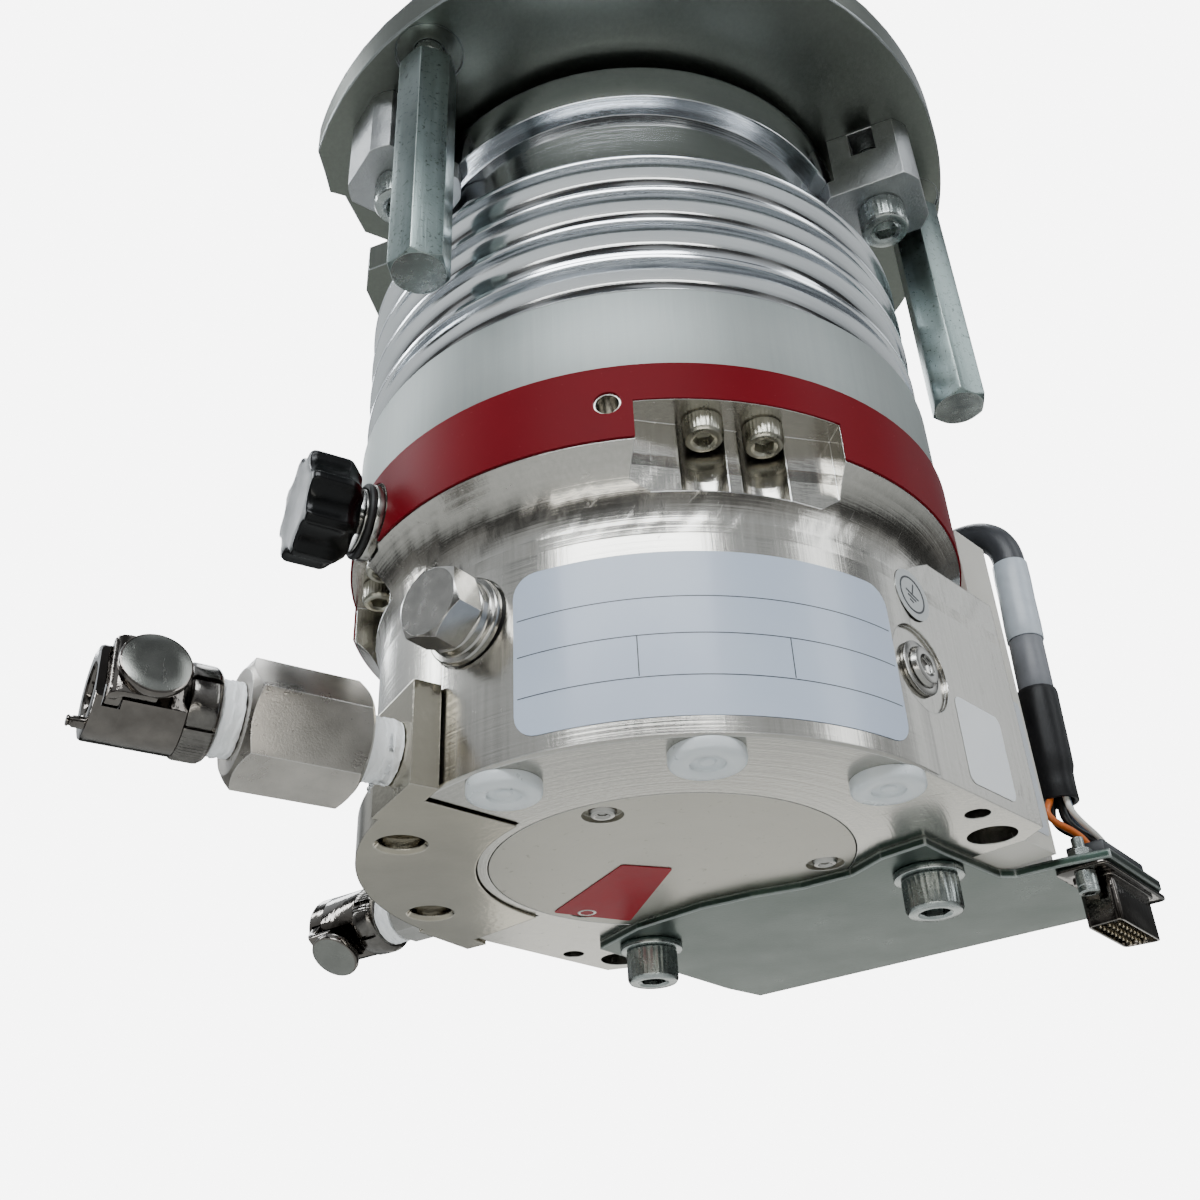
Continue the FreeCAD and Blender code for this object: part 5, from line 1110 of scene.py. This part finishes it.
class PUMP_OT_connector(PumpPiece, bpy.types.Operator):
    """Make the connector under the bracket: its shell, dark insert, pins and jack posts"""
    bl_idname = "pump.connector"
    bl_label = "Connector"

    def execute(self, context):
        under = -2.1
        place = seat(connector_point(0.0, 0.0), UP, connector_point(1.0, 0.0) - connector_point(0.0, 0.0))

        def dee(half_long, half_short, slope, radius):
            return rounded([(-half_long, -half_short), (half_long, -half_short),
                            (half_long - slope, half_short), (slope - half_long, half_short)], radius)

        flange = rounded([(-19.4, -6.2), (19.4, -6.2), (19.4, 6.2), (-19.4, 6.2)], 2.2)
        opening = dee(11.9, 3.6, 1.0, 1.0)
        wall, collar, hole = dee(12.6, 4.3, 1.2, 1.6), dee(13.4, 5.1, 1.2, 1.8), dee(12.0, 3.7, 1.0, 1.0)
        shell = joined((frame_plate(flange, opening, under - 1.0, under - 0.02, 0.2), place),
                       (frame_plate(wall, opening, under - 11.95, under - 0.9, 0.2), place),
                       (frame_plate(collar, hole, under - 1.8, under - 0.9, 0.3), place))
        publish(shell, "connector_dee_shell", ("chrome_plate",), "chrome_plate", ("connector_shell",),
                crease=30.0)

        insert = joined((outline(dee(11.8, 3.5, 1.0, 0.9), under - 10.2, 0.9, 0.15), place),
                        (block((25.2, 9.2, 4.7), (0.0, 0.0, 2.55), 0.5), place))
        for row, (count, across) in enumerate(((9, 2.0), (9, 0.0), (8, -2.0))):
            for index in range(count):
                along = (index - (count - 1) / 2.0) * 2.3 + (0.4 if row == 1 else 0.0)
                pin = turned([(0.0, 0.0), (0.42, 0.0), (0.42, 1.5), (0.3, 1.95), (0.0, 2.1)], 16)
                spot = Matrix.Translation((along, across, under - 10.0)) @ Matrix.Rotation(math.pi, 4, "X")
                gather(insert, pin, place @ spot, 1)
        publish(insert, "connector_pin_insert", ("insert_plastic", "gold_pin"), "black_plastic",
                ("connector_insert",))

        jacks = bmesh.new()
        for end in (-16.65, 16.65):
            spot = place @ Matrix.Translation((end, 0.0, 0.0))
            post = turned([(1.2, -8.3), (2.0, -8.3), (2.35, -8.0), (2.35, -6.9), (2.2, -6.7), (2.35, -6.5),
                           (2.35, -3.3), (2.1, -3.1), (1.2, -3.1)], 48, closed=True)
            gather(jacks, post, spot)
            gather(jacks, turned([(0.0, -6.3), (1.45, -6.3), (1.45, 4.8), (1.2, 5.0), (0.0, 5.0)], 32), spot)
            gather(jacks, hexagon_bar(5.0, 0.05, 2.05, bore=1.3), spot)
        publish(jacks, "jack_posts", ("zinc_screw",), "stainless", ("jack_screws",), crease=26.0)
        return {"FINISHED"}


class PUMP_OT_labels(PumpPiece, bpy.types.Operator):
    """Lay the bare rating label, the side stickers, the earth sign and the seal film"""
    bl_idname = "pump.labels"
    bl_label = "Labels"

    def execute(self, context):
        turn, level = -82.0, 22.0
        rating = joined((wrap(sticker(82.0, 36.0, 5.0, 48), 67.05, turn, level),))
        # Plain rules of a table, with no words
        rules = ((0.0, 7.6, 80.5, 0.22), (0.0, -0.6, 80.5, 0.22), (0.0, -9.6, 80.5, 0.22),
                 (14.0, -4.9, 0.22, 8.8), (-16.0, -4.9, 0.22, 8.8))
        for rule in ruled(rules, 40, 0.0, 0.02):
            gather(rating, wrap(rule, 67.17, turn, level), paint=1)
        publish(rating, "rating_label", ("label_film", "print_ink"), "white_sleeve", crease=40.0)

        outward, forward = drive_point(0.0, 1.0), drive_point(1.0, 0.0)
        stickers = (("side_sticker", "white_film", (18.0, 20.0, 2.0), (27.2, 66.75, 12.8)),
                    ("drive_sticker", "grey_film", (11.0, 34.0, 1.0), (57.4, 60.02, 21.0)))
        for name, paint, sizes, spot in stickers:
            film = joined((sticker(*sizes), seat(drive_point(*spot), outward, forward)))
            publish(film, name, (paint,), "white_sleeve")
        # The earth sign: a ring, a stem and three shorter and shorter bars
        place = seat(drive_point(8.4, 67.0, 43.6), outward, drive_point(1.0, 0.0, -0.35))
        sign = joined((turned([(0.0, 0.0), (6.2, 0.0), (6.2, 0.12), (0.0, 0.12)], 64), place),
                      (turned([(4.1, 0.1), (4.55, 0.1), (4.55, 0.18), (4.1, 0.18)], 64, closed=True), place, 1))
        bars = ((0.0, 1.6, 0.4, 3.0), (0.0, 0.0, 4.6, 0.4), (0.0, -0.95, 3.0, 0.4), (0.0, -1.9, 1.4, 0.4))
        for bar in ruled(bars, 1, 0.13, 0.05):
            gather(sign, bar, place, 1)
        publish(sign, "earth_sign", ("clear_film", "print_ink"), "white_sleeve")
        seal = outline(rounded([(-11.2, -2.9), (0.2, 0.9), (-9.6, 36.6), (-28.2, 27.4)], 1.0, 3), -0.20, -0.06)
        publish(seal, "seal_strip", ("seal_film",), "red_film")
        return {"FINISHED"}


class PUMP_PT_panel(bpy.types.Panel):
    """Lists the pump's pieces"""
    bl_idname = "PUMP_PT_panel"
    bl_label = "Pump"
    bl_space_type = "VIEW_3D"
    bl_region_type = "UI"
    bl_category = "Pump"

    def draw(self, context):
        column = self.layout.column()
        column.prop(context.scene.pump_sizes, "key_power")
        for piece in PIECES:
            column.operator(piece.bl_idname)


PIECES = (PUMP_OT_stage, PUMP_OT_finishes, PUMP_OT_cable, PUMP_OT_barrel, PUMP_OT_screws, PUMP_OT_vent,
          PUMP_OT_plug, PUMP_OT_feet, PUMP_OT_tapes, PUMP_OT_couplings, PUMP_OT_posts, PUMP_OT_rim,
          PUMP_OT_connector, PUMP_OT_labels)
CLASSES = (PumpColours, PumpSizes) + PIECES + (PUMP_PT_panel,)


def register():
    for item in CLASSES:
        bpy.utils.register_class(item)
    bpy.types.Scene.pump_colours = bpy.props.PointerProperty(type=PumpColours)
    bpy.types.Scene.pump_sizes = bpy.props.PointerProperty(type=PumpSizes)


def unregister():
    del bpy.types.Scene.pump_sizes
    del bpy.types.Scene.pump_colours
    for item in reversed(CLASSES):
        bpy.utils.unregister_class(item)


def main():
    register()
    for piece in PIECES:
        group, name = piece.bl_idname.split(".")
        getattr(getattr(bpy.ops, group), name)()


if __name__ == "__main__":
    main()
